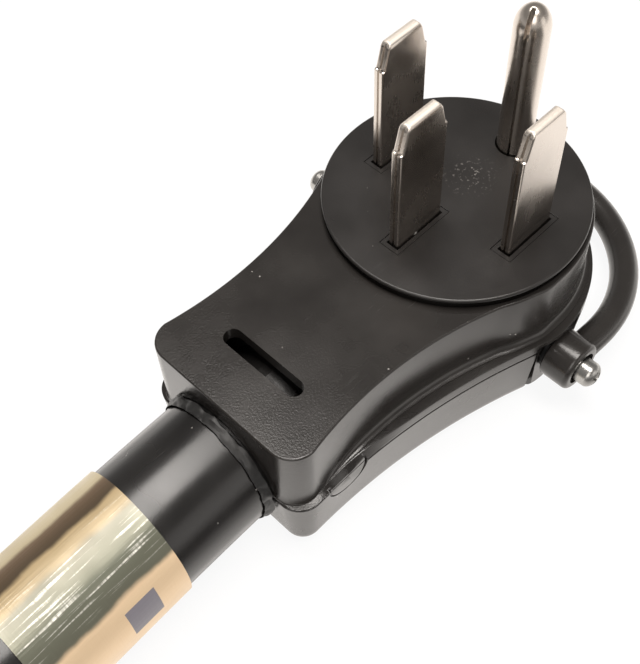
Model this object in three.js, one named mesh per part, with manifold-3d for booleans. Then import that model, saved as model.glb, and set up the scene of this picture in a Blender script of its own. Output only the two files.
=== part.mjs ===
// A 50 A shore power cord: a right-angle four-pin plug with a pull bail, its thick cord, and the
// in-line connector on the far end. Millimetres, +Z up. The origin is on the surface that the plug
// lies on, under the middle of its round face; +X points away from the cord.
import * as THREE from "three";
import { mergeVertices } from "three/addons/utils/BufferGeometryUtils.js";
import Module from "manifold-3d";

const wasm = await Module();
wasm.setup();

// ---------------------------------------------------------------- driving dimensions
const GAP = 0.3; // clearance between pieces that touch on the real object

// plug face
const FACE_HEIGHT = 38.6; // face above the surface
const FACE_RADIUS = 28.5;
const FACE_RISE = 2.45; // of the face above the top plate
const LIP_THICKNESS = 0.8; // the face plate overhangs a dark groove
const NECK_RADIUS = 26.3;
const WELL_RADIUS = 28.2; // round well in the top plate that the face plate sits in
const WELL_DEPTH = 1.1;
const FACE_EDGE = 0.5; // softened rim of the face plate
const WINDOW_MARGIN = 1.5; // boss showing around each flat blade, along and across it

// blades and pin
const BLADE_WIDTH = 13.2;
const BLADE_THICKNESS = 2.5;
const BLADE_LENGTH = 32.2; // above the face
const BLADE_TIP_WIDTH = 8.8;
const BLADE_TIP_THICKNESS = 1.8;
const BLADE_SHOULDER = 26.2; // height above the face where the tip starts
const BLADE_SHOULDER_STEP = 0.45;
const BLADE_FOLD_GROOVE = 0.5; // depth of the fold line along each narrow edge
const HOT_SPACING = 35;
const HOT_X = 0.9;
const NEUTRAL_X = -13.1;
const GROUND_X = 19.1;
const PIN_RADIUS = 3.8;
const PIN_LENGTH = 37.2;
const PIN_SEAM = 0.9;
const TAIL_WIDTH = 8;
const TAIL_TOP = 3; // the full width runs on this far below the carrier

// insulating carrier under the face
const CARRIER_RADIUS = 24;
const CARRIER_FLANGE_RADIUS = 25.4;
const CARRIER_DEPTH = 10.15; // below the top plate's upper side

// body
const TOP_PLATE_HEIGHT = FACE_HEIGHT - FACE_RISE;
const WALL = 3;
const PARTING_HEIGHT = 17.4;
const LEDGE_HEIGHT = 20.5;
const LEDGE_FILLET = 2.3;
const BOTTOM_ROUNDING = 4.5;
const BOTTOM_DRAFT = 1; // the lower shell narrows this much on each side towards the bottom
const TOP_EDGE = 0.4;
const UPPER = { headX: 0, headRadius: 28.8, waist: 19.9, waistX: -47, flare: 91, endX: -69.2, corner: 5.6 };
const LOWER = { headX: -2, headRadius: 32.5, waist: 22.6, waistX: -60, flare: 157, endX: -69.6, corner: 5.3 };
const SLOT_X = -56.5;
const SLOT_LENGTH = 20.8;
const SLOT_WIDTH = 4;

const DISH_X = -57; // shallow round mark on the parting line of the right-hand side
const DISH_RADIUS = 5.5;
const DISH_DEPTH = 0.35;

// bail handle and its pivots
const PIVOT_X = -0.7;
const PIVOT_HEIGHT = 11.8;
const BARREL_RADIUS = 5.8;
const BARREL_LENGTH = 7;
const BARREL_INNER_Y = 31.4;
const BAIL_RADIUS = 34.9; // of the round end, to the middle of the rod
const BAIL_ARM = 10.1; // straight part between the pivot and the round end
const BAIL_DROOP = 6.3; // degrees below level as the handle lies at rest
const ROD_RADIUS = 3.3;
const SCREW_RADIUS = 1.9;
const SCREW_HEAD_RADIUS = 2.6;
const SCREW_HEAD_STRAIGHT = 3.1;
const SCREW_HEAD_DOME = 1.9;
const HEAD_RECESS_RADIUS = 3.9;
const HEAD_RECESS_DEPTH = 1.2;
const POCKET_Y = 30.2; // flat seat cut into each side of the body
const POCKET_HALF_LENGTH = 8.4;
const POCKET_SLOT_WIDTH = 1.4; // deeper slot along the cord side of each seat
const POCKET_SLOT_DEPTH = 1.8;
const POCKET_TOP = 21.6;
const POCKET_OVERRUN = 3.7; // of the seat's cut past the widest part of the body
const PAD_WALL = 2.5; // of the pads that hold the inserts
const INSERT_RADIUS = 4;
const INSERT_DEPTH = 7;
const COLLAR_RADIUS = 4.6;

// cord
const CORD_RADIUS = 14.3;
const CORD_EXIT_HEIGHT = 16.5;
const CORD_REST_HEIGHT = CORD_RADIUS + GAP; // middle of the cord where it lies flat
const JACKET_INNER_X = -47.5; // where the jacket is cut back inside the plug
const CONDUCTOR_RADIUS = 3.7;
const GROUND_CONDUCTOR_RADIUS = 3.1;
const CONDUCTOR_OFFSET = 6.8; // from the middle of the cord
const COPPER_RADIUS = 2.4;
const COPPER_LENGTH = 9;
const CRIMP_BORE = 2.9;
const CRIMP_RADIUS = 3.9;
const CRIMP_LENGTH = 11;
const TONGUE_THICKNESS = 1.6;
const TONGUE_HEIGHT = 6;
const CLAMP_LENGTH = 4.7;
const CLAMP_PLATE = 2; // parts the conductors in front of the jacket
const ENTRY_COLLAR_RADIUS = CORD_RADIUS + 1.7;
const ENTRY_COLLAR_LIP = CORD_RADIUS + 0.9;
const ENTRY_COLLAR_LENGTH = 2.8;
const LABEL_START_X = -92;
const LABEL_END_X = -124.4;
const LABEL_THICKNESS = 0.35;
const LABEL_OPEN_ANGLE = 80; // degrees left bare underneath

// coil of the unseen length
const COIL_ENTRY = new THREE.Vector2(-310, -6);
const COIL_OUTER_RADIUS = 180.5;
const COIL_PITCH = 2 * CORD_RADIUS + 1.4;
const COIL_TURNS = 4.35;
const COIL_HEIGHT = CORD_RADIUS + 1.9; // middle of the lower layer
const LAYER_RISE = 2 * CORD_RADIUS + 0.8;
const LOOP_STEPS = 24;
const LOOP_SIDES = 6;
const TIE_ANGLES = [-30, 200];
const TIE_WIDTH = 20;
const TIE_THICKNESS = 1.4;
const TIE_CLEARANCE = 0.6;
const TIE_CORNER = 9;

// far connector, built along its own +X from the cord side
const CONNECTOR_RADIUS = 33;
const CONNECTOR_LENGTH = 64;
const CONNECTOR_WALL = 3.2;
const CONNECTOR_NECK = 23;
const CONNECTOR_THROAT = 10; // close fit round the cord
const CONNECTOR_SLOPE_START = 6; // the neck opens into the shell between these places
const CONNECTOR_SLOPE_END = 24;
const CONNECTOR_FACE_THICKNESS = 10;
const BOOT_LENGTH = 42;
const BOOT_TIP_RADIUS = CORD_RADIUS + 2.1;
const BOOT_RIBS = 4;
const SOCKET_DEPTH = 14;
const SOCKET_WALL = 1.5;
const CORE_FLOOR = 3; // of the insulating core behind the sockets
const CORD_IN_CONNECTOR = 14; // how far the jacket reaches into the connector

// the free stretches, laid by hand
const LEAD_POINTS = [
  [-70.2, 0, CORD_EXIT_HEIGHT],
  [-90, -0.4, CORD_EXIT_HEIGHT - 0.2],
  [-115, -1.2, CORD_EXIT_HEIGHT - 0.9],
  [-145, -2.4, CORD_REST_HEIGHT + 0.3],
  [-175, -3.6, CORD_REST_HEIGHT],
  [-205, -4.6, CORD_REST_HEIGHT + 0.1],
  [-235, -5.4, CORD_REST_HEIGHT + 0.7],
  [-260, -5.9, COIL_HEIGHT - 0.2],
  [-281.1, -6, COIL_HEIGHT],
];
const TAIL_HIGH = COIL_HEIGHT + LAYER_RISE;
const TAIL_LOW = CONNECTOR_RADIUS + GAP;
const TAIL_POINTS = [
  [-438.8, 304.2, TAIL_HIGH],
  [-426.3, 321, TAIL_HIGH - 0.4],
  [-405, 342.5, TAIL_HIGH - 2.2],
  [-379, 360.5, TAIL_LOW + 6.9],
  [-350, 373.5, TAIL_LOW + 3.5],
  [-319, 381.5, TAIL_LOW + 1.1],
  [-287, 384.4, TAIL_LOW + 0.1],
  [-256, 384.5, TAIL_LOW],
  [-227, 384.5, TAIL_LOW],
];

// ---------------------------------------------------------------- materials
const finish = (color, roughness, metalness) => new THREE.MeshStandardMaterial({ color, roughness, metalness });
const BODY_VINYL = finish(0x353231, 0.45, 0);
const FACE_NYLON = finish(0x33302f, 0.5, 0);
const CORD_JACKET = finish(0x1c1b1b, 0.35, 0);
const NICKEL = finish(0xb9afa6, 0.28, 1);
const BRASS = finish(0xb08d4a, 0.35, 1);
const STEEL = finish(0xc4c2be, 0.25, 1);
const BLACK_STEEL = finish(0x2a2a2b, 0.4, 0.6);
const COPPER = finish(0xb66a3c, 0.4, 1);
const LABEL_FOIL = finish(0xc9b48c, 0.3, 0.6);
const TIE_WEB = finish(0x202020, 0.85, 0);
const INSULATION = {
  red: finish(0x9a1f1a, 0.5, 0),
  black: finish(0x1a1a1a, 0.5, 0),
  white: finish(0xd8d6d0, 0.5, 0),
  green: finish(0x1f6b34, 0.5, 0),
};

// ---------------------------------------------------------------- solids
const object = new THREE.Group();

function solidOf(geometry) {
  const bare = geometry.clone();
  for (const name of Object.keys(bare.attributes)) if (name !== "position") bare.deleteAttribute(name);
  const merged = mergeVertices(bare, 1e-4);
  return new wasm.Manifold(
    new wasm.Mesh({
      numProp: 3,
      vertProperties: merged.attributes.position.array,
      triVerts: new Uint32Array(merged.index.array),
    }),
  );
}

function geometryOf(solid) {
  const mesh = solid.getMesh();
  const geometry = new THREE.BufferGeometry();
  geometry.setAttribute("position", new THREE.BufferAttribute(new Float32Array(mesh.vertProperties), 3));
  geometry.setIndex(new THREE.BufferAttribute(new Uint32Array(mesh.triVerts), 1));
  geometry.computeVertexNormals();
  return geometry;
}

function addPiece(name, shape, material, parent = object) {
  const geometry = shape.isBufferGeometry ? shape : geometryOf(shape);
  const mesh = new THREE.Mesh(geometry, material);
  mesh.name = name;
  parent.add(mesh);
  return mesh;
}

function box(x0, x1, y0, y1, z0, z1) {
  const block = new THREE.BoxGeometry(x1 - x0, y1 - y0, z1 - z0);
  return solidOf(block.translate((x0 + x1) / 2, (y0 + y1) / 2, (z0 + z1) / 2));
}

// A round bar between two heights along Z, or turned to lie along X or Y.
function bar(radius, from, to, { axis = "z", at = [0, 0, 0], segments = 32 } = {}) {
  const geometry = new THREE.CylinderGeometry(radius, radius, to - from, segments);
  geometry.translate(0, (from + to) / 2, 0);
  if (axis === "z") geometry.rotateX(Math.PI / 2);
  if (axis === "x") geometry.rotateZ(-Math.PI / 2);
  return solidOf(geometry.translate(...at));
}

// A turned piece: profile points are [radius, place along the axis].
function turned(profile, { axis = "z", at = [0, 0, 0], segments = 32 } = {}) {
  const points = profile.map(([r, z]) => new THREE.Vector2(r, z));
  const geometry = new THREE.LatheGeometry(points, segments);
  if (axis === "z") geometry.rotateX(Math.PI / 2);
  if (axis === "x") geometry.rotateZ(-Math.PI / 2);
  return solidOf(geometry.translate(...at));
}

// A flat outline pulled straight up between two heights.
function prism(points, from, to) {
  const column = new THREE.ExtrudeGeometry(new THREE.Shape(points), { depth: to - from, bevelEnabled: false });
  return solidOf(column.translate(0, 0, from));
}

const curveThrough = (points) =>
  new THREE.CatmullRomCurve3(points.map((p) => new THREE.Vector3(...p)), false, "centripetal");

function roundTube(points, radius, { sides = 10, steps = 12 } = {}) {
  const path = curveThrough(points);
  const section = new THREE.Shape();
  for (let i = 0; i < sides; i++) {
    const angle = (2 * Math.PI * (i + 0.5)) / sides;
    const [x, y] = [radius * Math.cos(angle), radius * Math.sin(angle)];
    if (i) section.lineTo(x, y);
    else section.moveTo(x, y);
  }
  return solidOf(new THREE.ExtrudeGeometry(section, { steps, extrudePath: path, bevelEnabled: false }));
}

// Rings of equally many points, joined in order and capped at both ends.
function loft(rings, caps) {
  const count = rings[0].length;
  const positions = rings.flat().flatMap((p) => [p.x, p.y, p.z]);
  const index = [];
  for (let r = 0; r + 1 < rings.length; r++) {
    for (let i = 0; i < count; i++) {
      const [a, b] = [r * count + i, r * count + ((i + 1) % count)];
      index.push(a, b, b + count, a, b + count, a + count);
    }
  }
  const last = (rings.length - 1) * count;
  for (const [a, b, c] of caps) {
    index.push(a, c, b);
    index.push(last + a, last + b, last + c);
  }
  const geometry = new THREE.BufferGeometry();
  geometry.setAttribute("position", new THREE.Float32BufferAttribute(positions, 3));
  geometry.setIndex(index);
  return geometry;
}

const degrees = (angle) => (angle * Math.PI) / 180;

// ---------------------------------------------------------------- body shells
const HEAD_STEPS = 15;
const FLARE_STEPS = 10;
const CORNER_STEPS = 4;

// Half-width of the concave side at x.
const flareAt = (s, x) => s.waist + s.flare - Math.sqrt(s.flare ** 2 - (x - s.waistX) ** 2);

// Where the round head meets the concave side.
function headJoin(s) {
  let [low, high] = [s.headX - 0.9 * s.headRadius, s.headX];
  for (let i = 0; i < 40; i++) {
    const x = (low + high) / 2;
    if (Math.sqrt(s.headRadius ** 2 - (x - s.headX) ** 2) > flareAt(s, x)) high = x;
    else low = x;
  }
  return high;
}

// The body in plan: a round head, concave sides and a squared end for the cord, drawn in by inset.
function outline(shape, inset = 0) {
  const s = {
    ...shape,
    headRadius: shape.headRadius - inset,
    waist: shape.waist - inset,
    flare: shape.flare + inset,
    endX: shape.endX + inset,
    corner: Math.max(shape.corner - inset, 1.5),
  };
  const joinX = headJoin(s);
  const joinAngle = Math.acos((joinX - s.headX) / s.headRadius);
  const cornerX = s.endX + s.corner;
  const cornerY = flareAt(s, cornerX) - s.corner;
  const half = [];
  for (let i = 0; i <= HEAD_STEPS; i++) {
    const angle = (joinAngle * i) / HEAD_STEPS;
    half.push([s.headX + s.headRadius * Math.cos(angle), s.headRadius * Math.sin(angle)]);
  }
  for (let i = 1; i < FLARE_STEPS; i++) {
    const x = joinX + ((cornerX - joinX) * i) / FLARE_STEPS;
    half.push([x, flareAt(s, x)]);
  }
  for (let i = 0; i <= CORNER_STEPS; i++) {
    const angle = Math.PI / 2 + (Math.PI / 2) * (i / CORNER_STEPS);
    half.push([cornerX + s.corner * Math.cos(angle), cornerY + s.corner * Math.sin(angle)]);
  }
  const mirrored = half.slice(1).reverse().map(([x, y]) => [x, -y]);
  return [...half, ...mirrored].map(([x, y]) => new THREE.Vector2(x, y));
}

// A ring of the body's skin: share 0 is the upper outline and 1 the lower one.
function skinRing(height, share, inset = 0) {
  const [upper, lower] = [outline(UPPER, inset), outline(LOWER, inset)];
  return upper.map((p, i) => new THREE.Vector3(...p.clone().lerp(lower[i], share).toArray(), height));
}

const planCaps = THREE.ShapeUtils.triangulateShape(outline(LOWER), []);
const cordBore = (radius, from, to) =>
  bar(radius, from, to, { axis: "x", at: [0, 0, CORD_EXIT_HEIGHT], segments: 40 });
const cavity = (from, to) => prism(outline(UPPER, WALL), from, to);

const INSERT_START = POCKET_Y - INSERT_DEPTH;
const INSERT_FLANGE_OUTER = BARREL_INNER_Y - GAP;
const SCREW_TIP = INSERT_START + 1.8;
const SIDES = [
  ["left", 1],
  ["right", -1],
];

// The stretch of Y from one distance to another on one side of the body, lowest first.
const onSide = (from, to, side) => (side > 0 ? [from, to] : [-to, -from]);

const pivotBar = (radius, from, to, side, segments = 24) =>
  bar(radius, ...onSide(from, to, side), { axis: "y", at: [PIVOT_X, 0, PIVOT_HEIGHT], segments });

// Takes the pivot seats and insert bores out of a shell.
function withPivotSeats(shell) {
  let cut = shell;
  for (const [, side] of SIDES) {
    const outer = LOWER.headRadius + POCKET_OVERRUN;
    const [x0, x1] = [PIVOT_X - POCKET_HALF_LENGTH, PIVOT_X + POCKET_HALF_LENGTH];
    const seat = onSide(POCKET_Y, outer, side);
    const slot = onSide(POCKET_Y - POCKET_SLOT_DEPTH, outer, side);
    cut = cut.subtract(box(x0, x1, ...seat, -1, POCKET_TOP));
    cut = cut.subtract(box(x0, x0 + POCKET_SLOT_WIDTH, ...slot, -1, POCKET_TOP));
    cut = cut.subtract(pivotBar(INSERT_RADIUS + GAP, INSERT_START - GAP, POCKET_Y + 1, side));
  }
  return cut;
}

const dish = () =>
  bar(DISH_RADIUS, -LOWER.waist - 2, -LOWER.waist + DISH_DEPTH, {
    axis: "y",
    at: [DISH_X, 0, PARTING_HEIGHT],
    segments: 32,
  });

// Pad inside the lower shell that a pivot insert is moulded into.
function pivotPad(side) {
  const across = onSide(INSERT_START - PAD_WALL, POCKET_Y - 1, side);
  const reach = INSERT_RADIUS + PAD_WALL;
  return box(PIVOT_X - reach, PIVOT_X + reach, ...across, WALL - 1, PARTING_HEIGHT - GAP / 2);
}

function lowerShell() {
  const rings = [];
  for (let i = 0; i <= 4; i++) {
    const turn = (Math.PI / 2) * (i / 4);
    const inset = BOTTOM_ROUNDING * (1 - Math.sin(turn));
    rings.push(skinRing(BOTTOM_ROUNDING * (1 - Math.cos(turn)), 1, inset + BOTTOM_DRAFT));
  }
  rings.push(skinRing(PARTING_HEIGHT - GAP / 2, 1));
  const skin = solidOf(loft(rings, planCaps));
  const hollow = skin.subtract(cavity(WALL, PARTING_HEIGHT + 1)).add(pivotPad(1)).add(pivotPad(-1));
  const bore = cordBore(CORD_RADIUS + GAP, LOWER.endX - 1, JACKET_INNER_X);
  return withPivotSeats(hollow).subtract(dish()).subtract(bore);
}

function upperShell() {
  const rings = [skinRing(PARTING_HEIGHT + GAP / 2, 1), skinRing(LEDGE_HEIGHT - 0.3, 1)];
  for (let i = 0; i <= 5; i++) {
    const turn = degrees(80) * (1 - i / 5);
    rings.push(skinRing(LEDGE_HEIGHT + LEDGE_FILLET * (1 - Math.sin(turn)), 1 - Math.cos(turn)));
  }
  rings.push(skinRing(TOP_PLATE_HEIGHT - TOP_EDGE, 0), skinRing(TOP_PLATE_HEIGHT, 0, TOP_EDGE));
  const skin = solidOf(loft(rings, planCaps));
  const hollow = skin.subtract(cavity(PARTING_HEIGHT - 1, TOP_PLATE_HEIGHT - WALL));
  const open = hollow
    .subtract(bar(CARRIER_RADIUS + GAP, TOP_PLATE_HEIGHT - WALL - 1, TOP_PLATE_HEIGHT + 1, { segments: 48 }))
    .subtract(bar(WELL_RADIUS, TOP_PLATE_HEIGHT - WELL_DEPTH, TOP_PLATE_HEIGHT + 1, { segments: 72 }))
    .subtract(prism(slotOutline(), TOP_PLATE_HEIGHT - WALL - 1, TOP_PLATE_HEIGHT + 1))
    .subtract(cordBore(CORD_RADIUS + GAP, LOWER.endX - 1, JACKET_INNER_X));
  return withPivotSeats(open).subtract(dish());
}

// The long hole with round ends across the top plate.
function slotOutline() {
  const reach = (SLOT_LENGTH - SLOT_WIDTH) / 2;
  const points = [];
  for (const [side, start] of [[1, 0], [-1, Math.PI]]) {
    for (let i = 0; i <= 6; i++) {
      const angle = start + (Math.PI * i) / 6;
      const [dx, dy] = [(SLOT_WIDTH / 2) * Math.cos(angle), (SLOT_WIDTH / 2) * Math.sin(angle)];
      points.push(new THREE.Vector2(SLOT_X + dx, side * reach + dy));
    }
  }
  return points;
}

// ---------------------------------------------------------------- plug face, carrier and contacts
const CARRIER_BOTTOM = TOP_PLATE_HEIGHT - CARRIER_DEPTH;
const BLADES = [
  { name: "hot_blade_left", x: HOT_X, y: HOT_SPACING / 2, tail: 16 }, // tail: its length below the carrier
  { name: "hot_blade_right", x: HOT_X, y: -HOT_SPACING / 2, tail: 16 },
  { name: "neutral_blade", x: NEUTRAL_X, y: 0, tail: 8.5 },
];
const GROUND_TAIL = 17;

const around = (x, y, halfX, halfY, z0, z1) => box(x - halfX, x + halfX, y - halfY, y + halfY, z0, z1);

function facePlate() {
  const bottom = TOP_PLATE_HEIGHT + GAP;
  const skirt = CARRIER_RADIUS + 2 * GAP;
  let plate = turned(
    [
      [0, bottom],
      [skirt, bottom],
      [skirt, bottom - WELL_DEPTH],
      [NECK_RADIUS, bottom - WELL_DEPTH],
      [NECK_RADIUS, FACE_HEIGHT - LIP_THICKNESS],
      [FACE_RADIUS, FACE_HEIGHT - LIP_THICKNESS],
      [FACE_RADIUS, FACE_HEIGHT - FACE_EDGE],
      [FACE_RADIUS - FACE_EDGE, FACE_HEIGHT],
      [0, FACE_HEIGHT],
    ],
    { segments: 72 },
  );
  for (const b of BLADES) {
    const [halfX, halfY] = [BLADE_WIDTH / 2 + WINDOW_MARGIN, BLADE_THICKNESS / 2 + WINDOW_MARGIN];
    plate = plate.subtract(around(b.x, b.y, halfX, halfY, bottom - 1, FACE_HEIGHT + 1));
  }
  return plate.subtract(bar(PIN_RADIUS + GAP, bottom - 1, FACE_HEIGHT + 1, { at: [GROUND_X, 0, 0] }));
}

// The insulating block that holds the contacts; its bosses come up flush through the face plate.
function contactCarrier() {
  const flangeTop = TOP_PLATE_HEIGHT - WALL - GAP;
  let carrier = bar(CARRIER_FLANGE_RADIUS, CARRIER_BOTTOM, flangeTop, { segments: 48 }).add(
    bar(CARRIER_RADIUS, CARRIER_BOTTOM, TOP_PLATE_HEIGHT, { segments: 48 }),
  );
  for (const b of BLADES) {
    const [halfX, halfY] = [BLADE_WIDTH / 2 + WINDOW_MARGIN - GAP, BLADE_THICKNESS / 2 + WINDOW_MARGIN - GAP];
    carrier = carrier.add(around(b.x, b.y, halfX, halfY, CARRIER_BOTTOM, FACE_HEIGHT - 0.1));
  }
  for (const b of BLADES) {
    const [halfX, halfY] = [BLADE_WIDTH / 2 + GAP, BLADE_THICKNESS / 2 + GAP];
    carrier = carrier.subtract(around(b.x, b.y, halfX, halfY, CARRIER_BOTTOM - 1, FACE_HEIGHT + 1));
  }
  return carrier.subtract(bar(PIN_RADIUS + GAP, CARRIER_BOTTOM - 1, FACE_HEIGHT + 1, { at: [GROUND_X, 0, 0] }));
}

// A blade of folded strip, drawn about its own middle: broad part, shouldered tip, narrow tail.
function foldedBlade(tailLength) {
  const tailHeight = CARRIER_BOTTOM - tailLength;
  const [half, tip, tail] = [BLADE_WIDTH / 2, BLADE_TIP_WIDTH / 2, TAIL_WIDTH / 2];
  const shoulder = FACE_HEIGHT + BLADE_SHOULDER;
  const top = FACE_HEIGHT + BLADE_LENGTH;
  const right = [
    [tail, tailHeight], [tail, CARRIER_BOTTOM - TAIL_TOP], [half, CARRIER_BOTTOM - TAIL_TOP], [half, shoulder],
    [half - BLADE_SHOULDER_STEP, shoulder + 0.5], [tip + 0.35, top - 0.7], [tip - 0.4, top],
  ];
  const left = right.map(([x, z]) => [-x, z]).reverse();
  const front = new THREE.Shape([...right, ...left].map(([x, z]) => new THREE.Vector2(x, z)));
  const sheet = new THREE.ExtrudeGeometry(front, { depth: BLADE_THICKNESS, bevelEnabled: false });
  const flat = solidOf(sheet.rotateX(Math.PI / 2).translate(0, BLADE_THICKNESS / 2, 0));

  const [thick, thin] = [BLADE_THICKNESS / 2, BLADE_TIP_THICKNESS / 2];
  const rim = [[thick, tailHeight - 1], [thick, shoulder], [thin + 0.15, top - 0.9], [thin - 0.3, top + 0.01]];
  const section = [...rim, ...rim.map(([y, z]) => [-y, z]).reverse()];
  const side = new THREE.Shape(section.map(([y, z]) => new THREE.Vector2(y, z)));
  const wedge = new THREE.ExtrudeGeometry(side, { depth: BLADE_WIDTH + 2, bevelEnabled: false });
  wedge.rotateX(Math.PI / 2).rotateZ(Math.PI / 2).translate(-half - 1, 0, 0);
  const tapered = flat.intersect(solidOf(wedge));

  const seam = 0.18;
  const groove = (x0, x1) => box(x0, x1, -seam, seam, CARRIER_BOTTOM - 2, shoulder + 3);
  return tapered
    .subtract(groove(half - BLADE_FOLD_GROOVE, half + 1))
    .subtract(groove(-half - 1, -half + BLADE_FOLD_GROOVE));
}

// The rolled ground pin: a round-tipped post with its seam towards the cord and a flat tail.
function groundPin() {
  const top = FACE_HEIGHT + PIN_LENGTH;
  const profile = [[0, CARRIER_BOTTOM - TAIL_TOP], [PIN_RADIUS, CARRIER_BOTTOM - TAIL_TOP]];
  const dome = PIN_RADIUS * 1.35;
  for (let i = 0; i <= 6; i++) {
    const angle = (Math.PI / 2) * (i / 6);
    profile.push([PIN_RADIUS * Math.cos(angle), top - dome + dome * Math.sin(angle)]);
  }
  profile[profile.length - 1][0] = 0;
  const post = turned(profile, { at: [GROUND_X, 0, 0], segments: 24 });
  const tailHeights = [CARRIER_BOTTOM - GROUND_TAIL, CARRIER_BOTTOM - TAIL_TOP + 1];
  const tail = around(GROUND_X, 0, TAIL_WIDTH / 2 - 0.8, BLADE_THICKNESS / 2, ...tailHeights);
  const seamX = [GROUND_X - PIN_RADIUS - 1, GROUND_X - PIN_RADIUS / 2];
  const seam = box(...seamX, -PIN_SEAM / 2, PIN_SEAM / 2, FACE_HEIGHT - 3, top - 3);
  return post.add(tail).subtract(seam);
}

// Crimp barrels lie along X, each with a tongue riveted flat against its contact's tail.
const TONGUE_SIDE = BLADE_THICKNESS / 2 + GAP + TONGUE_THICKNESS / 2;
const CRIMP_DROP = { hot: 12, neutral: 4.6, ground: 13.5 }; // its middle below the carrier
const HOT_Y = HOT_SPACING / 2 - TONGUE_SIDE;
const HOT_Z = CARRIER_BOTTOM - CRIMP_DROP.hot;
const NEUTRAL_Z = CARRIER_BOTTOM - CRIMP_DROP.neutral;
const GROUND_Z = CARRIER_BOTTOM - CRIMP_DROP.ground;
const CONTACTS = [
  { name: "hot_left", x: HOT_X, y: HOT_Y, z: HOT_Z, wire: "red", reach: TAIL_WIDTH / 2 },
  { name: "hot_right", x: HOT_X, y: -HOT_Y, z: HOT_Z, wire: "black", reach: TAIL_WIDTH / 2 },
  { name: "neutral", x: NEUTRAL_X, y: -TONGUE_SIDE, z: NEUTRAL_Z, wire: "white", reach: BLADE_WIDTH / 2 },
  { name: "ground", x: GROUND_X, y: -TONGUE_SIDE, z: GROUND_Z, wire: "green", reach: TAIL_WIDTH / 2 },
];
const barrelEnd = (c) => c.x - c.reach - 1.2;
const wireEnd = (c) => barrelEnd(c) - CRIMP_LENGTH - GAP;

function crimpBarrel(c) {
  const [from, to] = [barrelEnd(c) - CRIMP_LENGTH, barrelEnd(c)];
  const barrel = turned(
    [[CRIMP_BORE, from], [CRIMP_RADIUS, from], [CRIMP_RADIUS, to], [CRIMP_BORE, to], [CRIMP_BORE, from]],
    { axis: "x", at: [0, c.y, c.z], segments: 16 },
  );
  const half = TONGUE_THICKNESS / 2;
  const [z0, z1] = [c.z - TONGUE_HEIGHT / 2, c.z + TONGUE_HEIGHT / 2];
  const tongue = box(to - 2, c.x + TAIL_WIDTH / 2 - 1, c.y - half, c.y + half, z0, z1);
  const relief = bar(CRIMP_BORE + 0.2, to - 3, to, { axis: "x", at: [0, c.y, c.z], segments: 16 });
  return barrel.add(tongue.subtract(relief));
}

// Where each conductor comes out of the jacket, [y, z], and the bends on its way to its crimp.
const WIRE_STARTS = {
  hot_left: [CONDUCTOR_OFFSET, CORD_EXIT_HEIGHT],
  hot_right: [-CONDUCTOR_OFFSET, CORD_EXIT_HEIGHT],
  neutral: [0, CORD_EXIT_HEIGHT + CONDUCTOR_OFFSET],
  ground: [0, CORD_EXIT_HEIGHT - CONDUCTOR_OFFSET],
};
const GROUND_WIRE_LOW = GROUND_Z - 3.1;
const WIRE_BENDS = {
  hot_left: [[-28, 12, HOT_Z + 1]],
  hot_right: [[-28, -12, HOT_Z + 1]],
  neutral: [],
  ground: [[-34, -0.6, GROUND_WIRE_LOW], [-20, -1.8, GROUND_WIRE_LOW], [-6, -2.6, GROUND_Z - 0.9]],
};
const wireRadius = (c) => (c.name === "ground" ? GROUND_CONDUCTOR_RADIUS : CONDUCTOR_RADIUS);

function conductor(c) {
  const [start, end] = [JACKET_INNER_X + GAP, wireEnd(c)];
  const [y, z] = WIRE_STARTS[c.name];
  const route = [[start, y, z], [start + 4, y, z], ...WIRE_BENDS[c.name], [end - 3, c.y, c.z], [end, c.y, c.z]];
  return roundTube(route, wireRadius(c), { sides: 8, steps: 10 });
}

function copperEnd(c) {
  const start = wireEnd(c) + GAP;
  return bar(COPPER_RADIUS, start, start + COPPER_LENGTH, { axis: "x", at: [0, c.y, c.z], segments: 12 });
}

// ---------------------------------------------------------------- cord entry
const jacketEnd = () => cordBore(CORD_RADIUS, LOWER.endX - 0.1, JACKET_INNER_X);

// The saddle that grips the jacket between the two shells, with a plate that parts the conductors.
function cordClamp() {
  const [x0, x1] = [JACKET_INNER_X - CLAMP_LENGTH, JACKET_INNER_X + GAP + CLAMP_PLATE];
  const half = UPPER.waist - WALL - GAP;
  let clamp = box(x0, x1, -half, half, WALL + GAP, TOP_PLATE_HEIGHT - WALL - GAP);
  clamp = clamp.subtract(cordBore(CORD_RADIUS + GAP, x0 - 1, JACKET_INNER_X + GAP));
  for (const c of CONTACTS) {
    const [y, z] = WIRE_STARTS[c.name];
    clamp = clamp.subtract(bar(wireRadius(c) + GAP, x0, x1 + 1, { axis: "x", at: [0, y, z], segments: 24 }));
  }
  return clamp;
}

// The rough collar that the moulding leaves around the cord.
function entryCollar() {
  const [from, to] = [LOWER.endX - GAP - ENTRY_COLLAR_LENGTH, LOWER.endX - GAP];
  const bore = CORD_RADIUS + GAP;
  const profile = [
    [bore, from],
    [ENTRY_COLLAR_LIP, from],
    [ENTRY_COLLAR_RADIUS, to - 0.8],
    [ENTRY_COLLAR_RADIUS, to],
    [bore, to],
    [bore, from],
  ];
  return turned(profile, { axis: "x", at: [0, 0, CORD_EXIT_HEIGHT], segments: 40 });
}

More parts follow.
